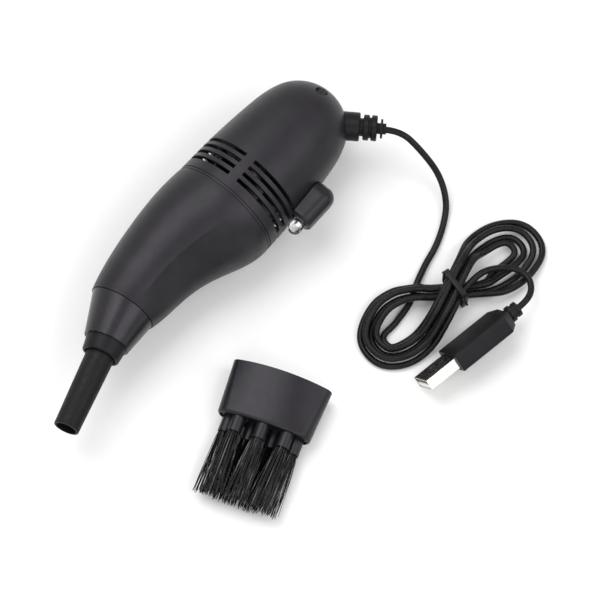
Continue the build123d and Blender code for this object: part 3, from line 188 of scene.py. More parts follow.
# Brush
BRUSH_X = -37.8
BRUSH_Y = -56.5
BRUSH_ANGLE = 200.6
BRUSH_AXIS_Z = 7.0
CUP_LENGTH = 21.5
PLATE_DROP = 0.1
FERRULE_OUT = 6.0
TUFT_R = 2.2
TUFT_PITCH_UPPER = 9.5
TUFT_PITCH_LOWER = 8.8
ROW_BOW_R = 53.55
ROW_RISE = 3.15
BRISTLE_LENGTH = 31.0
TUFT_SPREAD_SHARE = 0.92
TUFT_RISE_SHARE = 1.08
BRISTLE_SPREAD_SHARE = 2.2
BRISTLE_RISE_SHARE = 1.05
BRISTLE_ROOT = 0.8
BRISTLE_SIDES = 6
BRISTLE_CUTS = 6
BRISTLE_TAPER_SHARE = 0.3
FAN_POWER = 0.65
RAGGED_SHORT_SHARE = -1.0
RAGGED_LONG_SHARE = 0.55
STRAY_ACROSS_SHARE = 0.6
STRAY_UP_SHARE = 0.3
SWAY_SHARE = 0.35
# Pale lines painted along the bristles as highlights: their width and length in millimetres
HIGHLIGHT_STREAK_WIDTH = 0.9
HIGHLIGHT_STREAK_LENGTH = 22.0

# Lamp and the bright reflector cup that shows inside it
LAMP_X = 8.9
LAMP_Y = -25.0
LAMP_R = 2.5
REFLECTOR_R = 0.95
REFLECTOR_LENGTH = 1.3
REFLECTOR_BACK_SHARE = 0.6
REFLECTOR_RIM = 0.12
REFLECTOR_DEPTH = 0.6
REFLECTOR_FLOOR_SHARE = 0.5
REFLECTOR_POINTS = 32

# Filter pad
PAD_LOW, PAD_HIGH = (Vector(corner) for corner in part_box("filter_cloth"))
PAD_POINTS = 96
PAD_CUTS = 3
PAD_EDGE_SHARE = 0.78
PAD_CROWN_POWER = 6

# Share of light that a plastic mirrors; a plain one has 0.5
PLAIN_GLOSS = 0.5
NOSE_GLOSS = 0.34
BRISTLE_GLOSS = 0.3
SHELL_GLOSS = 0.26
SOFT_GLOSS = 0.15
SHEEN_TINT = (0.97, 0.94, 1.0, 1.0)

# Colours of the collar and the slide, as shares of the housing's
COLLAR_SHADE_SHARE = 0.6
SLIDE_SHADE_SHARE = 0.75

# Colours that the panel doesn't change
TIE_BLACK = (0.01, 0.01, 0.011)
INNER_BLACK = (0.011, 0.011, 0.012)
FERRITE_GREY = (0.045, 0.045, 0.047)
NYLON_WHITE = (0.76, 0.74, 0.67)
PLUG_WHITE = (0.82, 0.81, 0.77)
FELT_DARK = (0.52, 0.51, 0.47)
FELT_PALE = (0.74, 0.73, 0.69)
LAMP_CLEAR = (0.97, 0.98, 1.0, 1.0)
PLUG_NICKEL = (0.62, 0.6, 0.57)
CONTACT_GOLD = (0.83, 0.62, 0.28)
MOTOR_STEEL = (0.55, 0.55, 0.56)
ROTOR_STEEL = (0.33, 0.33, 0.35)
SCREW_STEEL = (0.5, 0.5, 0.52)
LAMP_FRAME = (0.85, 0.85, 0.83)
COPPER = (0.72, 0.33, 0.16)
BRASS = (0.75, 0.58, 0.3)


class CordSizes(bpy.types.PropertyGroup):
    """Sizes of the cord"""
    diameter: FloatProperty(name="Diameter", description="Outer diameter of the cord",
                            default=CORD_D * MM, unit="LENGTH")
    length: FloatProperty(name="Length", description="Whole length of the cord",
                          default=885 * MM, unit="LENGTH")


class BrushSizes(bpy.types.PropertyGroup):
    """Sizes of the bristles"""
    pitch: FloatProperty(name="Pitch", description="Distance between bristles at the root",
                         default=0.46 * MM, unit="LENGTH")
    thickness: FloatProperty(name="Thickness", description="Thickness of one bristle",
                             default=0.3 * MM, unit="LENGTH")
    bend: FloatProperty(name="Bend", description="How far a bristle's tip strays from its line",
                        default=0.9 * MM, unit="LENGTH")
    ragged: FloatProperty(name="Ragged", description="How much the bristles differ in length",
                          default=1.1 * MM, unit="LENGTH")
    seed: IntProperty(name="Seed", description="Arrangement of the bristles", default=7)


class Finishes(bpy.types.PropertyGroup):
    """Colours of the cleaner"""
    body: FloatVectorProperty(name="Housing", description="Colour of the housing plastic",
                              default=(0.0085, 0.0076, 0.0098), subtype="COLOR", size=3)
    rubber: FloatVectorProperty(name="Rubber", description="Colour of the nozzle tube",
                                default=(0.0055, 0.0055, 0.0058), subtype="COLOR", size=3)
    cord: FloatVectorProperty(name="Cord", description="Colour of the cord and plug",
                              default=(0.0045, 0.0045, 0.005), subtype="COLOR", size=3)
    bristle: FloatVectorProperty(name="Bristles", description="Colour of the bristles",
                                 default=(0.003, 0.003, 0.0036), subtype="COLOR", size=3)
    floor: FloatVectorProperty(name="Floor", description="Colour of the table",
                               default=(0.92, 0.92, 0.92), subtype="COLOR", size=3)


def select_only(obj):
    """Select one object and make it active."""
    if bpy.context.object and bpy.context.object.mode != "OBJECT":
        bpy.ops.object.mode_set(mode="OBJECT")
    bpy.ops.object.select_all(action="DESELECT")
    obj.select_set(True)
    bpy.context.view_layer.objects.active = obj


def named(name):
    """The active object, named and with its mesh named alike."""
    obj = bpy.context.object
    obj.name = name
    obj.data.name = name
    return obj


def settle(obj):
    """Apply place and modifiers, so that the object sits at the origin with its place in its mesh."""
    select_only(obj)
    bpy.ops.object.transform_apply(location=True, rotation=True, scale=True)
    for modifier in list(obj.modifiers):
        bpy.ops.object.modifier_apply(modifier=modifier.name)


def smooth(obj, angle):
    """Smooth shading with sharp edges kept."""
    select_only(obj)
    bpy.ops.object.shade_smooth_by_angle(angle=radians(angle))


def finish_with(obj, material):
    """Give an object one material in every slot."""
    if not obj.material_slots:
        obj.data.materials.append(material)
    for slot in obj.material_slots:
        slot.material = material


def dress(material, *nodes):
    """Give CAD nodes a material."""
    for name in nodes:
        finish_with(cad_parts[name], material)


class Shader:
    """Short way to add and join the nodes of one material."""

    def __init__(self, name):
        self.material = bpy.data.materials.new(name)
        self.material.use_nodes = True
        self.tree = self.material.node_tree
        self.surface = self.tree.nodes["Principled BSDF"]
        self.place = self.add("ShaderNodeTexCoord").outputs["Object"]

    def add(self, kind, **values):
        """A new node with its settings."""
        node = self.tree.nodes.new(kind)
        for key, value in values.items():
            setattr(node, key, value)
        return node

    def join(self, start, node, socket):
        """Join an output to an input of a node."""
        self.tree.links.new(start, node.inputs[socket])

    def noise_on(self, source, size, detail):
        """Noise whose features are about size metres across, on given places."""
        node = self.add("ShaderNodeTexNoise")
        node.inputs["Scale"].default_value = 1 / size
        node.inputs["Detail"].default_value = detail
        self.join(source, node, "Vector")
        return node.outputs["Fac"]

    def noise(self, size, detail=4.0, stretch=None):
        """Noise all over the piece, finer or drawn out by a scale on each axis."""
        if not stretch:
            return self.noise_on(self.place, size, detail)
        mapping = self.add("ShaderNodeMapping")
        mapping.inputs["Scale"].default_value = stretch
        self.join(self.place, mapping, "Vector")
        return self.noise_on(mapping.outputs["Vector"], size, detail)

    def streaks(self, angle, width, length):
        """Noise drawn out along a heading in the table's plane; it lays out the highlights painted along the
        bristles.
        """
        mapping = self.add("ShaderNodeMapping", vector_type="TEXTURE")
        mapping.inputs["Rotation"].default_value = (0, 0, radians(angle))
        mapping.inputs["Scale"].default_value = (length / width, 1, 1)
        self.join(self.place, mapping, "Vector")
        return self.noise_on(mapping.outputs["Vector"], width, 1.0)

    def spread(self, start, low=0.0, high=1.0, dark=0.35, light=0.65):
        """A value between low and high, from a noise value between dark and light."""
        node = self.add("ShaderNodeMapRange")
        node.inputs["From Min"].default_value = dark
        node.inputs["From Max"].default_value = light
        node.inputs["To Min"].default_value = low
        node.inputs["To Max"].default_value = high
        self.join(start, node, "Value")
        return node.outputs["Result"]

    def mix(self, factor, low, high):
        """A colour between two colours."""
        node = self.add("ShaderNodeMix", data_type="RGBA")
        node.inputs["A"].default_value = (*low, 1)
        node.inputs["B"].default_value = (*high, 1)
        self.join(factor, node, "Factor")
        return node.outputs["Result"]

    def bump(self, height, depth, strength=1.0, normal=None):
        """A bump of depth metres."""
        node = self.add("ShaderNodeBump")
        node.inputs["Distance"].default_value = depth
        node.inputs["Strength"].default_value = strength
        self.join(height, node, "Height")
        if normal:
            self.join(normal, node, "Normal")
        return node.outputs["Normal"]

    def set(self, **values):
        """Give the surface plain values."""
        for key, value in values.items():
            self.surface.inputs[key.replace("_", " ")].default_value = value

    def feed(self, socket, start):
        """Join an output to the surface."""
        self.join(start, self.surface, socket)


def moulded(name, colour, roughness, grain=0.25, depth=0.012, spread=0.03, gloss=PLAIN_GLOSS):
    """Moulded plastic: grain in millimetres, slow waves from the mould and handling haze."""
    shader = Shader(name)
    haze = shader.noise(9 * MM, detail=5.0)
    patches = shader.noise(3 * MM, detail=6.0)
    pale = tuple(min(1.0, part * 1.35 + 0.0012) for part in colour)
    waves = shader.bump(shader.noise(6 * MM, detail=2.0), 0.015 * MM, strength=0.5)
    shader.feed("Base Color", shader.mix(shader.spread(haze), colour, pale))
    shader.feed("Roughness", shader.spread(patches, roughness - spread, roughness + spread))
    shader.feed("Normal", shader.bump(shader.noise(grain * MM, detail=3.0), depth * MM, normal=waves))
    shader.set(Specular_IOR_Level=gloss, Specular_Tint=SHEEN_TINT)
    return shader.material


def rubbery(name, colour, roughness, dust=0.35, spread=0.07):
    """Soft plastic: fine matte skin with a little pale dust."""
    shader = Shader(name)
    specks = shader.spread(shader.noise(0.7 * MM, detail=8.0), high=dust, dark=0.52, light=0.75)
    patches = shader.noise(2 * MM, detail=5.0)
    pale = tuple(part + 0.03 for part in colour)
    waves = shader.bump(shader.noise(2.4 * MM, detail=2.0), 0.04 * MM, strength=0.6)
    shader.feed("Base Color", shader.mix(specks, colour, pale))
    shader.feed("Roughness", shader.spread(patches, roughness - spread, roughness + spread))
    shader.feed("Normal", shader.bump(shader.noise(0.18 * MM, detail=3.0), 0.01 * MM, normal=waves))
    shader.set(Specular_IOR_Level=SOFT_GLOSS)
    return shader.material


def metal(name, colour, roughness, stretch=(1.0, 1.0, 1.0), scratch=0.004, tarnish=0.15):
    """Plated or drawn metal with fine marks along one way, their depth in millimetres."""
    shader = Shader(name)
    patches = shader.noise(2.5 * MM, detail=6.0)
    marks = shader.noise(0.2 * MM, detail=4.0, stretch=stretch)
    dull = tuple(part * (1 - tarnish) for part in colour)
    shader.feed("Base Color", shader.mix(shader.spread(patches), dull, colour))
    shader.feed("Roughness", shader.spread(marks, roughness * 0.75, roughness * 1.3))
    shader.feed("Normal", shader.bump(marks, scratch * MM))
    shader.set(Metallic=1.0)
    return shader.material


def clear_lamp(name):
    """Water-clear epoxy."""
    shader = Shader(name)
    shader.feed("Roughness", shader.spread(shader.noise(1.5 * MM), 0.02, 0.08))
    shader.feed("Normal", shader.bump(shader.noise(0.9 * MM, detail=2.0), 0.01 * MM, strength=0.7))
    shader.set(Base_Color=LAMP_CLEAR, Transmission_Weight=1.0, IOR=1.52)
    return shader.material


def felt(name):
    """Pressed filter felt."""
    shader = Shader(name)
    fibres = shader.noise(0.35 * MM, detail=8.0, stretch=(0.4, 1.0, 1.0))
    shader.feed("Base Color", shader.mix(shader.spread(fibres), FELT_DARK, FELT_PALE))
    shader.feed("Normal", shader.bump(fibres, 0.15 * MM))
    shader.set(Roughness=0.95, Sheen_Weight=0.3)
    return shader.material


def cord_skin(name, colour):
    """Soft PVC with slow unevenness."""
    shader = Shader(name)
    haze = shader.noise(4 * MM, detail=5.0)
    pale = tuple(part * 1.8 for part in colour)
    shader.feed("Base Color", shader.mix(shader.spread(haze), colour, pale))
    shader.feed("Roughness", shader.spread(shader.noise(1.2 * MM, detail=5.0), 0.22, 0.36))
    shader.feed("Normal", shader.bump(shader.noise(1.6 * MM, detail=3.0), 0.02 * MM, strength=0.5))
    shader.set(Specular_IOR_Level=SOFT_GLOSS)
    return shader.material


def bristle_skin(name, colour):
    """Nylon filament, with pale lines painted along the bristles as highlights."""
    shader = Shader(name)
    streaks = shader.streaks(BRUSH_ANGLE, HIGHLIGHT_STREAK_WIDTH * MM, HIGHLIGHT_STREAK_LENGTH * MM)
    # Pale colour painted along the bristles as highlights, in a mask of noise drawn out along the brush
    pale = tuple(part * 6 + 0.16 for part in colour)
    shader.feed("Base Color", shader.mix(shader.spread(streaks, dark=0.6, light=0.74), colour, pale))
    shader.feed("Roughness", shader.spread(shader.noise(1.5 * MM, detail=3.0), 0.2, 0.34))
    shader.feed("Normal", shader.bump(shader.noise(0.3 * MM, detail=2.0), 0.005 * MM, strength=0.6))
    shader.set(Specular_IOR_Level=BRISTLE_GLOSS)
    return shader.material


def floor_paint(name, colour):
    """Pale table that keeps the object's shadow."""
    shader = Shader(name)
    dull = tuple(part * 0.995 for part in colour)
    shader.feed("Base Color", shader.mix(shader.noise(400 * MM, detail=2.0), dull, colour))
    shader.set(Roughness=0.9, Specular_IOR_Level=0.0)
    return shader.material


def heading(angle):
    """Unit vector in the table's plane."""
    return Vector((cos(radians(angle)), sin(radians(angle)), 0))


def hank_place():
    """From the hank's own frame to millimetres from the build origin."""
    turn = Matrix.Rotation(radians(HANK_ANGLE), 4, "Z")
    return Matrix.Translation((HANK_X, HANK_Y, 0)) @ turn


def under_y(x, offset):
    """Place across the crossing of a pass of the first bundle, which runs up to the left."""
    return (offset - x * sin(radians(CROSS_ANGLE))) / cos(radians(CROSS_ANGLE))


def over_y(x, offset):
    """Place across the crossing of a pass of the second bundle, which runs up to the right."""
    return (offset + x * sin(radians(CROSS_ANGLE))) / cos(radians(CROSS_ANGLE))


def hank_stations():
    """Places and headings along the figure-eight, in the hank's own frame."""
    stations = []
    floor = CORD_D / 2
    last = HANK_TURNS
    low = TIE_T + SOFT_GAP + CORD_D / 2
    over = low + HANK_LAYER + STRAND_STEP
    far_cross = (last - 1 / 2) * CROSS_PITCH + CLEAR_RUN
    back = 180 - CROSS_ANGLE
    for turn in range(last + 1):
        left = last - turn
        up = (turn % 2) * HANK_LAYER
        half = LEFT_HALF - left * HANK_PACK
        if turn > 0:
            offset = (turn - (last + 1) / 2) * CROSS_PITCH
            raised = floor + STRAND_STEP + up
            come = far_cross - left * HANK_STAGGER
            leave = (turn - 1) * HANK_STAGGER - RISE_START
            near = leave - RISE_RUN
            stations.append((come, under_y(come, offset), low + up, back))
            stations.append((leave, under_y(leave, offset), low + up, back))
            stations.append((near, under_y(near, offset) - RISE_DROP * (left + 1), raised, RISE_ANGLE))
            stations.append((-RISE_END, half - RISE_DROP * last, raised, 180))
            stations.append((left * HANK_PACK - LEFT_REACH, -LEFT_APEX_Y, floor + up, 270))
        else:
            stations.append((INNER_START_X, INNER_START_Y, floor, INNER_START_ANGLE))
            stations.append((left * HANK_PACK - LEFT_REACH, -INNER_APEX_Y, floor, 270))
        stations.append((-LEFT_FLANK, -half, floor + up, 0))
        offset = (last / 2 - turn) * CROSS_PITCH
        enter = turn * HANK_STAGGER - far_cross
        stations.append((enter, over_y(enter, offset), over + up, CROSS_ANGLE))
        if turn < last:
            leave = far_cross - left * LEAVE_STAGGER
            stations.append((leave, over_y(leave, offset), over + up, CROSS_ANGLE))
            top = RIGHT_TOP - turn * RIGHT_TOP_PITCH
            reach = RIGHT_REACH - turn * RIGHT_REACH_PITCH
            bottom = RIGHT_BOTTOM - turn * RIGHT_BOTTOM_PITCH
            level = floor + (HANK_LAYER - up) * SETTLE_SHARE
            stations.append((RIGHT_TOP_FLANK, top, floor + up, 0))
            stations.append((reach, (top - bottom) / 2, floor + up / 2, 270))
            stations.append((RIGHT_BOTTOM_FLANK, -bottom, level, 180))
    stations.append((OUT_X, OUT_Y, over, OUT_ANGLE))
    return [(Vector((x, y, z)), heading(angle)) for x, y, z, angle in stations]


def hank_corners():
    """Two corner points between each pair of stations, where their headings bend into each other."""
    corners = []
    stations = hank_stations()
    for (start, leaving), (end, arriving) in zip(stations, stations[1:]):
        gap = end - start
        square = 2 * (1 - leaving.dot(arriving))
        linear = 2 * gap.dot(leaving + arriving)
        reach = gap.length / 3
        if square > NEARLY_PARALLEL:
            reach = (sqrt(linear * linear + 4 * square * gap.dot(gap)) - linear) / (2 * square)
        corners.append(start + leaving * reach)
        corners.append(end - arriving * reach)
    return corners


def cord_points():
    """The cord's control points from the strain relief to the plug."""
    place = hank_place()
    out = heading(-RELIEF_ANGLE)
    start = Vector((RELIEF_X, RELIEF_Y, BODY_R)) + out * RELIEF_LENGTH
    stations = hank_stations()
    first, entering = stations[0]
    last, leaving = stations[-1]
    lead = [start, start + out * LEAD_EXIT] + [Vector(point) for point in LEAD_ROUTE]
    lead += [place @ Vector(point) for point in LEAD_HANK_ROUTE]
    lead.append(place @ (first - entering * LEAD_RUN))
    coil = [place @ corner for corner in [first] + hank_corners() + [last]]
    plug_out = heading(PLUG_HEADING)
    end = Vector((PLUG_X, PLUG_Y, PLUG_Z)) - plug_out * PLUG_LENGTH
    tail = [place @ (last + leaving * (CORD_D + TAIL_RUN))]
    tail += [place @ Vector(point) for point in TAIL_HANK_ROUTE]
    tail += [end - plug_out * TAIL_END, end]
    return [placed(*point) for point in lead + coil + tail]


class VACUUM_OT_stage(bpy.types.Operator):
    """Add the camera, the lamps, the world and the table"""
    bl_idname = "vacuum.stage"
    bl_label = "Stage"

    def execute(self, context):
        scene = context.scene
        scene.view_settings.view_transform = "Standard"
        add_camera(scene)
        side = heading(VIEW_AZIMUTH)
        ahead = heading(VIEW_AZIMUTH + 90)
        for name, across, forward, height, width, watts in SOFT_LAMPS:
            place = VIEW_TARGET + side * across + ahead * forward + Vector((0, 0, height))
            soft_lamp(name, place, width, watts)
        world = bpy.data.worlds.new("world")
        scene.world = world
        world.use_nodes = True
        shown_white(world.node_tree, world.node_tree.nodes["Background"], AMBIENT)
        bpy.ops.object.select_all(action="DESELECT")
        bpy.ops.mesh.primitive_grid_add(x_subdivisions=TABLE_CELLS, y_subdivisions=TABLE_CELLS,
                                        size=TABLE_WIDTH, location=(0, 0, 0))
        floor = named("floor")
        settle(floor)
        finish_with(floor, floor_paint("floor", scene.vacuum_finishes.floor))
        return {"FINISHED"}


def add_camera(scene):
    """The photograph's view, from a long way off."""
    azimuth = radians(VIEW_AZIMUTH)
    elevation = radians(VIEW_ELEVATION)
    look = Vector((-sin(azimuth) * cos(elevation), cos(azimuth) * cos(elevation), -sin(elevation)))
    data = bpy.data.cameras.new("camera")
    data.sensor_width = SENSOR_MM
    data.lens = SENSOR_MM * VIEW_DISTANCE / VIEW_WIDTH
    data.clip_end = VIEW_LIMIT
    camera = bpy.data.objects.new("camera", data)
    scene.collection.objects.link(camera)
    camera.location = VIEW_TARGET - look * VIEW_DISTANCE
    camera.rotation_euler = look.to_track_quat("-Z", "Y").to_euler()
    scene.camera = camera


def soft_lamp(name, place, width, watts):
    """A square soft lamp that points at the middle of the view."""
    data = bpy.data.lights.new(name, "AREA")
    data.size = width
    data.energy = watts
    lamp = bpy.data.objects.new(name, data)
    bpy.context.scene.collection.objects.link(lamp)
    lamp.location = place
    lamp.rotation_euler = (VIEW_TARGET - place).to_track_quat("-Z", "Y").to_euler()


def seen_ray(tree):
    """One where the camera, a mirror or clear plastic looks."""
    rays = tree.nodes.new("ShaderNodeLightPath")
    total = rays.outputs["Is Camera Ray"]
    for other in ("Is Glossy Ray", "Is Transmission Ray"):
        add = tree.nodes.new("ShaderNodeMath")
        add.operation = "MAXIMUM"
        tree.links.new(total, add.inputs[0])
        tree.links.new(rays.outputs[other], add.inputs[1])
        total = add.outputs[0]
    return total


def shown_white(tree, background, ambient):
    """White to the camera and to reflections, and a plain level of light otherwise."""
    background.inputs["Color"].default_value = (1, 1, 1, 1)
    level = tree.nodes.new("ShaderNodeMapRange")
    level.inputs["To Min"].default_value = ambient
    level.inputs["To Max"].default_value = 1.0
    tree.links.new(seen_ray(tree), level.inputs["Value"])
    tree.links.new(level.outputs["Result"], background.inputs["Strength"])


class VACUUM_OT_cord(bpy.types.Operator):
    """Add the cord, from the strain relief through the hank to the plug"""
    bl_idname = "vacuum.cord"
    bl_label = "Cord"

    def execute(self, context):
        sizes = context.scene.vacuum_cord
        curve = bpy.data.curves.new("cord", "CURVE")
        curve.dimensions = "3D"
        curve.bevel_depth = sizes.diameter / 2
        curve.bevel_resolution = CORD_ROUNDNESS
        curve.resolution_u = CORD_STEPS
        curve.use_fill_caps = True
        points = cord_points()
        spline = curve.splines.new("NURBS")
        spline.points.add(len(points) - 1)
        for point, place in zip(spline.points, points):
            point.co = (*place, 1)
        spline.order_u = CORD_ORDER
        spline.use_endpoint_u = True
        cord = bpy.data.objects.new("cord", curve)
        context.scene.collection.objects.link(cord)
        finish_with(cord, cord_skin("cord_pvc", context.scene.vacuum_finishes.cord))
        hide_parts("cord_lead", "cord_hank", "cord_tail")
        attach(cord, "body")
        return {"FINISHED"}


class VACUUM_OT_tie(bpy.types.Operator):
    """Add the twist tie round the hank's waist"""
    bl_idname = "vacuum.tie"
    bl_label = "Tie"

    def execute(self, context):
        low = TIE_T + SOFT_GAP + CORD_D / 2
        height = low + HANK_LAYER * 2 + STRAND_STEP + CORD_D / 2 + SOFT_GAP
        slant = sin(radians(CROSS_ANGLE)) * TIE_W / 2
        half = (CROSS_PITCH * HANK_TURNS / 2 + slant + CORD_D / 2) / cos(radians(CROSS_ANGLE)) + SOFT_GAP
        reach = half + TIE_T / 2
        bpy.ops.object.select_all(action="DESELECT")
        bpy.ops.mesh.primitive_circle_add(vertices=TIE_POINTS, radius=1.0, fill_type="NOTHING",
                                          location=(0, 0, 0))
        tie = named("hank_tie")
        mesh = bmesh.new()
        mesh.from_mesh(tie.data)
        shape_band(mesh, reach, height, half * TIE_CORNER_SHARE)
        for side in (-1, 1):
            add_twist(mesh, side, reach, height / 2)
        place = hank_place()
        for vert in mesh.verts:
            vert.co = placed(*(place @ vert.co))
        bmesh.ops.recalc_face_normals(mesh, faces=mesh.faces)
        mesh.to_mesh(tie.data)
        mesh.free()
        wall = tie.modifiers.new("wall", "SOLIDIFY")
        wall.thickness = TIE_T * MM
        wall.offset = 0
        edge = tie.modifiers.new("edge", "BEVEL")
        edge.width = TIE_EDGE * MM
        edge.segments = 2
        settle(tie)
        smooth(tie, angle=40)
        finish_with(tie, moulded("tie_pvc", TIE_BLACK, roughness=0.4, gloss=SOFT_GLOSS))
        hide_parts("cord_tie")
        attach(tie, "body")
        return {"FINISHED"}


def shape_band(mesh, reach, height, corner):
    """Bend a circle round the waist, a little wavy, and draw it out to the tie's width."""
    for vert in mesh.verts:
        angle = atan2(vert.co.y, vert.co.x)
        across, up = rounded(angle, reach, height / 2, corner)
        along = TIE_WAVE * sin(angle * TIE_WAVES) - TIE_W / 2
        vert.co = Vector((along, across, (height + TIE_T) / 2 + up))
    made = bmesh.ops.extrude_edge_only(mesh, edges=list(mesh.edges))["geom"]
    for vert in (item for item in made if isinstance(item, bmesh.types.BMVert)):
        vert.co.x += TIE_W


def rounded(angle, half_width, half_height, corner):
    """A point of a rounded rectangle in a direction from its middle."""
    reach_x = half_width - corner
    reach_y = half_height - corner
    side = cos(angle)
    rise = sin(angle)
    width = max(-reach_x, min(reach_x, side * half_width * TIE_SQUARE_SHARE))
    height = max(-reach_y, min(reach_y, rise * half_height * TIE_SQUARE_SHARE))
    return width + side * corner, height + rise * corner


def add_twist(mesh, side, start, height):
    """A twisted end of the tie that sticks out to one side."""
    previous = None
    for step in range(TWIST_STEPS + 1):
        share = step / TWIST_STEPS
        out = side * (start + share * TIE_TAIL_LENGTH)
        turn = share * 2 * pi * TWIST_TURNS
        reach = TWIST_HALF_W * (1 - share * TWIST_TAPER_SHARE)
        pair = [mesh.verts.new((cos(turn) * reach * sign, out, height + sin(turn) * reach * sign))
                for sign in (-1, 1)]
        if previous:
            mesh.faces.new((previous[0], previous[1], pair[1], pair[0]))
        previous = pair


def brush_place():
    """From the brush's own frame, Z towards the bristles, to millimetres from the build origin."""
    out = heading(BRUSH_ANGLE)
    side = heading(BRUSH_ANGLE + 90)
    up = Vector((0, 0, 1))
    turn = Matrix((side, up, out)).transposed().to_4x4()
    return Matrix.Translation((BRUSH_X, BRUSH_Y, BRUSH_AXIS_Z)) @ turn


def row_z(x):
    """Height of a ferrule's middle in the upper row."""
    return ROW_RISE - ROW_BOW_R + sqrt(ROW_BOW_R ** 2 - x ** 2)


def tuft_places():
    """Centres of the seven tufts: three in the upper row, four in the lower."""
    upper = [TUFT_PITCH_UPPER * index for index in (-1, 0, 1)]
    lower = [TUFT_PITCH_LOWER * (index + 1 / 2) for index in (-2, -1, 0, 1)]
    return [(x, row_z(x)) for x in upper] + [(x, -row_z(x)) for x in lower]


def root_places(pitch):
    """Places of a tuft's bristles about its middle, on a hexagonal grid."""
    places = []
    row_step = pitch * sqrt(3) / 2
    rows = ceil(TUFT_R / row_step)
    for row in range(-rows, rows + 1):
        for column in range(-rows, rows + 1):
            x = (column + (row % 2) / 2) * pitch
            y = row * row_step
            if x * x + y * y < (TUFT_R - pitch / 4) ** 2:
                places.append((x, y))
    return places


def strand_shape(cylinder):
    """Corners and faces of a straight bristle one unit long, with rings along it, from a cylinder's mesh."""
    mesh = bmesh.new()
    mesh.from_mesh(cylinder)
    sides = [edge for edge in mesh.edges if abs(edge.verts[0].co.z - edge.verts[1].co.z) > 1 / 2]
    bmesh.ops.subdivide_edges(mesh, edges=sides, cuts=BRISTLE_CUTS)
    mesh.verts.index_update()
    corners = [vert.co.copy() for vert in mesh.verts]
    faces = [[vert.index for vert in face.verts] for face in mesh.faces]
    mesh.free()
    return corners, faces


def add_strand(mesh, strand, middle, root, chance, sizes):
    """One bristle from inside the ferrule to its tip, bent a little its own way."""
    corners, faces = strand
    base = CUP_LENGTH + FERRULE_OUT - BRISTLE_ROOT
    ragged = sizes.ragged / MM
    bend = sizes.bend / MM
    tip = CUP_LENGTH + BRISTLE_LENGTH + chance.uniform(RAGGED_SHORT_SHARE, RAGGED_LONG_SHARE) * ragged
    stray_x = chance.gauss(0, STRAY_ACROSS_SHARE) * bend
    stray_y = chance.gauss(0, STRAY_UP_SHARE) * bend
    sway = chance.gauss(0, SWAY_SHARE) * bend
    verts = []
    for corner in corners:
        share = corner.z + 1 / 2
        shift = 1 + (TUFT_SPREAD_SHARE - 1) * share
        lift = 1 + (TUFT_RISE_SHARE - 1) * share
        grow = 1 + (BRISTLE_SPREAD_SHARE - 1) * share ** FAN_POWER
        rise = 1 + (BRISTLE_RISE_SHARE - 1) * share
        thin = 1 - BRISTLE_TAPER_SHARE * share
        curve = share * share
        bow = sin(share * pi) * sway
        x = middle[0] * shift + root[0] * grow + stray_x * curve + bow + corner.x * thin
        y = middle[1] * lift + root[1] * rise + stray_y * curve + corner.y * thin - PLATE_DROP
        verts.append(mesh.verts.new((x, y, base + (tip - base) * share)))
    for face in faces:
        mesh.faces.new([verts[index] for index in face])


class VACUUM_OT_bristles(bpy.types.Operator):
    """Add the seven tufts of bristles"""
    bl_idname = "vacuum.bristles"
    bl_label = "Bristles"

    def execute(self, context):
        sizes = context.scene.vacuum_brush
        chance = Random(sizes.seed)
        skin = bristle_skin("bristle_nylon", context.scene.vacuum_finishes.bristle)
        place = brush_place()
        for number, middle in enumerate(tuft_places(), start=1):
            bpy.ops.object.select_all(action="DESELECT")
            bpy.ops.mesh.primitive_cylinder_add(vertices=BRISTLE_SIDES, radius=sizes.thickness / 2 / MM,
                                                depth=1.0, end_fill_type="NGON", location=(0, 0, 0))
            tuft = named("bristles_%d" % number)
            strand = strand_shape(tuft.data)
            mesh = bmesh.new()
            for root in root_places(sizes.pitch / MM):
                add_strand(mesh, strand, middle, root, chance, sizes)
            for vert in mesh.verts:
                vert.co = placed(*(place @ vert.co))
            bmesh.ops.recalc_face_normals(mesh, faces=mesh.faces)
            mesh.to_mesh(tuft.data)
            mesh.free()
            smooth(tuft, angle=50)
            finish_with(tuft, skin)
            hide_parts("bristle_tuft_%d" % number)
            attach(tuft, "brush")
        return {"FINISHED"}


class VACUUM_OT_filter(bpy.types.Operator):
    """Add the felt filter pad in its frame"""
    bl_idname = "vacuum.filter"
    bl_label = "Filter pad"

    def execute(self, context):
        middle = (PAD_LOW + PAD_HIGH) / 2
        size = PAD_HIGH - PAD_LOW
        bpy.ops.object.select_all(action="DESELECT")
        bpy.ops.mesh.primitive_cylinder_add(vertices=PAD_POINTS, radius=size.y / 2, depth=size.x,
                                            end_fill_type="TRIFAN", location=middle, rotation=(0, pi / 2, 0))
        pad = named("filter_pad")
        settle(pad)
        bpy.ops.object.mode_set(mode="EDIT")
        bpy.ops.mesh.select_all(action="SELECT")
        bpy.ops.mesh.subdivide(number_cuts=PAD_CUTS)
        bpy.ops.object.mode_set(mode="OBJECT")
        mesh = bmesh.new()
        mesh.from_mesh(pad.data)
        for vert in mesh.verts:
            across = sqrt((vert.co.y - middle.y) ** 2 + (vert.co.z - middle.z) ** 2) / (size.y / 2)
            dome = sqrt(max(0.0, 1 - across ** PAD_CROWN_POWER))
            crown = PAD_EDGE_SHARE + (1 - PAD_EDGE_SHARE) * dome
            vert.co.x = middle.x + (vert.co.x - middle.x) * crown
        mesh.to_mesh(pad.data)
        mesh.free()
        smooth(pad, angle=50)
        finish_with(pad, felt("filter_felt"))
        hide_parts("filter_cloth")
        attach(pad, "body")
        return {"FINISHED"}


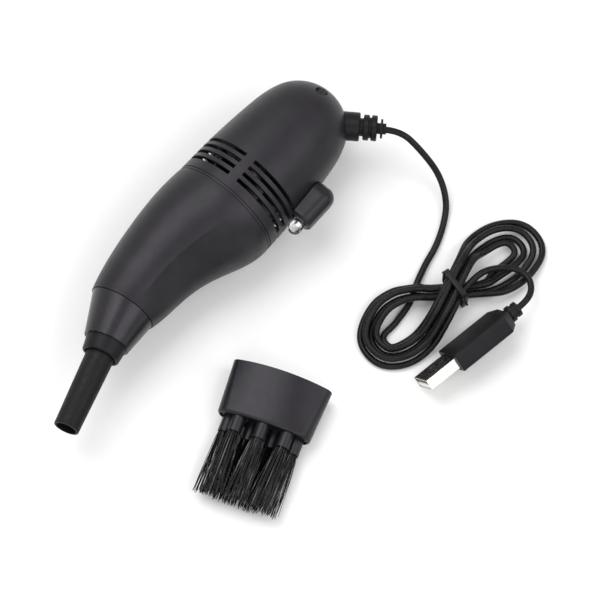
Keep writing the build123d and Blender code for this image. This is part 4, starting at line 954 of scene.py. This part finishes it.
class VACUUM_OT_lamp(bpy.types.Operator):
    """Finish the clear lamp and add the reflector cup inside it"""
    bl_idname = "vacuum.lamp"
    bl_label = "Lamp"

    def execute(self, context):
        dress(clear_lamp("lamp_clear"), "lamp")
        bpy.ops.object.select_all(action="DESELECT")
        place = placed(LAMP_X - LAMP_R * REFLECTOR_BACK_SHARE, LAMP_Y, BODY_R)
        bpy.ops.mesh.primitive_cylinder_add(vertices=REFLECTOR_POINTS, radius=REFLECTOR_R * MM,
                                            depth=REFLECTOR_LENGTH * MM, location=place,
                                            rotation=(0, -pi / 2, 0))
        core = named("lamp_reflector")
        settle(core)
        bpy.ops.object.mode_set(mode="EDIT")
        bpy.ops.mesh.select_all(action="DESELECT")
        bpy.ops.object.mode_set(mode="OBJECT")
        front = min(core.data.polygons, key=lambda face: face.center.x)
        front.select = True
        bpy.ops.object.mode_set(mode="EDIT")
        bpy.ops.mesh.select_mode(type="FACE")
        bpy.ops.mesh.inset(thickness=REFLECTOR_RIM * MM)
        bpy.ops.mesh.extrude_region_move(TRANSFORM_OT_translate={"value": (REFLECTOR_DEPTH * MM, 0, 0)})
        bpy.ops.transform.resize(value=(1, REFLECTOR_FLOOR_SHARE, REFLECTOR_FLOOR_SHARE))
        bpy.ops.object.mode_set(mode="OBJECT")
        smooth(core, angle=40)
        finish_with(core, metal("lamp_frame", LAMP_FRAME, roughness=0.2))
        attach(core, "switch")
        return {"FINISHED"}


class VACUUM_OT_housing(bpy.types.Operator):
    """Finish the housing, the nose, the nozzle and the thumb slide"""
    bl_idname = "vacuum.housing"
    bl_label = "Housing"

    def execute(self, context):
        finishes = context.scene.vacuum_finishes
        body = tuple(finishes.body)
        collar = tuple(part * COLLAR_SHADE_SHARE for part in body)
        slide = tuple(part * SLIDE_SHADE_SHARE for part in body)
        dress(moulded("body_plastic", body, roughness=0.4, grain=0.22, depth=0.01, gloss=SHELL_GLOSS),
              "rear_housing", "front_housing")
        dress(moulded("nose_plastic", body, roughness=0.26, grain=0.3, depth=0.005, gloss=NOSE_GLOSS),
              "nose_cone")
        dress(moulded("collar_plastic", collar, roughness=0.42, grain=0.3, depth=0.01, gloss=SOFT_GLOSS),
              "nozzle_collar")
        dress(moulded("slide_plastic", slide, roughness=0.34, grain=0.3, depth=0.008, gloss=SHELL_GLOSS),
              "thumb_slide")
        dress(rubbery("tube_rubber", tuple(finishes.rubber), roughness=0.5, dust=0.2), "nozzle_tube")
        dress(rubbery("relief_pvc", tuple(finishes.cord), roughness=0.4, dust=0.15), "strain_relief")
        return {"FINISHED"}


class VACUUM_OT_brush(bpy.types.Operator):
    """Finish the brush's cup and plate"""
    bl_idname = "vacuum.brush_cup"
    bl_label = "Brush cup"

    def execute(self, context):
        body = tuple(context.scene.vacuum_finishes.body)
        dress(moulded("brush_plastic", body, roughness=0.34, grain=0.4, depth=0.01, gloss=SHELL_GLOSS),
              "brush_cup", "brush_plate")
        return {"FINISHED"}


class VACUUM_OT_plug(bpy.types.Operator):
    """Finish the plug"""
    bl_idname = "vacuum.plug"
    bl_label = "Plug"

    def execute(self, context):
        cord = tuple(context.scene.vacuum_finishes.cord)
        dress(moulded("plug_pvc", cord, roughness=0.38, grain=0.35, depth=0.01, gloss=SOFT_GLOSS),
              "plug_overmould")
        dress(metal("plug_nickel", PLUG_NICKEL, roughness=0.24, stretch=(0.25, 1.0, 1.0)), "plug_shell")
        dress(moulded("plug_white", PLUG_WHITE, roughness=0.4), "plug_insulator")
        dress(metal("contact_gold", CONTACT_GOLD, roughness=0.25), "plug_contacts")
        return {"FINISHED"}


class VACUUM_OT_works(bpy.types.Operator):
    """Finish the motor, fan, filter frame and switch inside the housing"""
    bl_idname = "vacuum.works"
    bl_label = "Works"

    def execute(self, context):
        dress(moulded("inner_plastic", INNER_BLACK, roughness=0.48),
              "motor_holder", "impeller", "fan_shroud", "filter_frame", "switch_lever")
        dress(moulded("nylon", NYLON_WHITE, roughness=0.45), "motor_end_cap", "switch_body")
        dress(metal("motor_steel", MOTOR_STEEL, roughness=0.32, stretch=(0.2, 1.0, 1.0)),
              "motor_can", "motor_shaft")
        dress(metal("rotor_steel", ROTOR_STEEL, roughness=0.4, stretch=(4.0, 0.5, 0.5)), "rotor_core")
        dress(rubbery("magnet_ferrite", FERRITE_GREY, roughness=0.6), "motor_magnets")
        dress(metal("copper", COPPER, roughness=0.3, stretch=(0.3, 2.0, 2.0)), "rotor_windings")
        dress(metal("brass", BRASS, roughness=0.3), "motor_terminals")
        dress(metal("screw_steel", SCREW_STEEL, roughness=0.3), "housing_screws", "lamp_legs")
        return {"FINISHED"}


class VACUUM_PT_panel(bpy.types.Panel):
    """Sizes, colours and pieces of the cleaner"""
    bl_idname = "VACUUM_PT_panel"
    bl_label = "Vacuum cleaner"
    bl_space_type = "VIEW_3D"
    bl_region_type = "UI"
    bl_category = "Vacuum"

    def draw(self, context):
        scene = context.scene
        for group in (scene.vacuum_cord, scene.vacuum_brush, scene.vacuum_finishes):
            for name in group.__annotations__:
                self.layout.prop(group, name)
        for operator in OPERATORS:
            self.layout.operator(operator.bl_idname)


OPERATORS = (VACUUM_OT_stage, VACUUM_OT_cord, VACUUM_OT_tie, VACUUM_OT_bristles, VACUUM_OT_filter,
             VACUUM_OT_lamp, VACUUM_OT_housing, VACUUM_OT_brush, VACUUM_OT_plug, VACUUM_OT_works)
CLASSES = (CordSizes, BrushSizes, Finishes) + OPERATORS + (VACUUM_PT_panel,)


def register():
    for item in CLASSES:
        bpy.utils.register_class(item)
    bpy.types.Scene.vacuum_cord = PointerProperty(type=CordSizes)
    bpy.types.Scene.vacuum_brush = PointerProperty(type=BrushSizes)
    bpy.types.Scene.vacuum_finishes = PointerProperty(type=Finishes)


def unregister():
    del bpy.types.Scene.vacuum_finishes
    del bpy.types.Scene.vacuum_brush
    del bpy.types.Scene.vacuum_cord
    for item in reversed(CLASSES):
        bpy.utils.unregister_class(item)


def main():
    register()
    bpy.ops.vacuum.stage()
    bpy.ops.vacuum.cord()
    bpy.ops.vacuum.tie()
    bpy.ops.vacuum.bristles()
    bpy.ops.vacuum.filter()
    bpy.ops.vacuum.lamp()
    bpy.ops.vacuum.housing()
    bpy.ops.vacuum.brush_cup()
    bpy.ops.vacuum.plug()
    bpy.ops.vacuum.works()


if __name__ == "__main__":
    main()
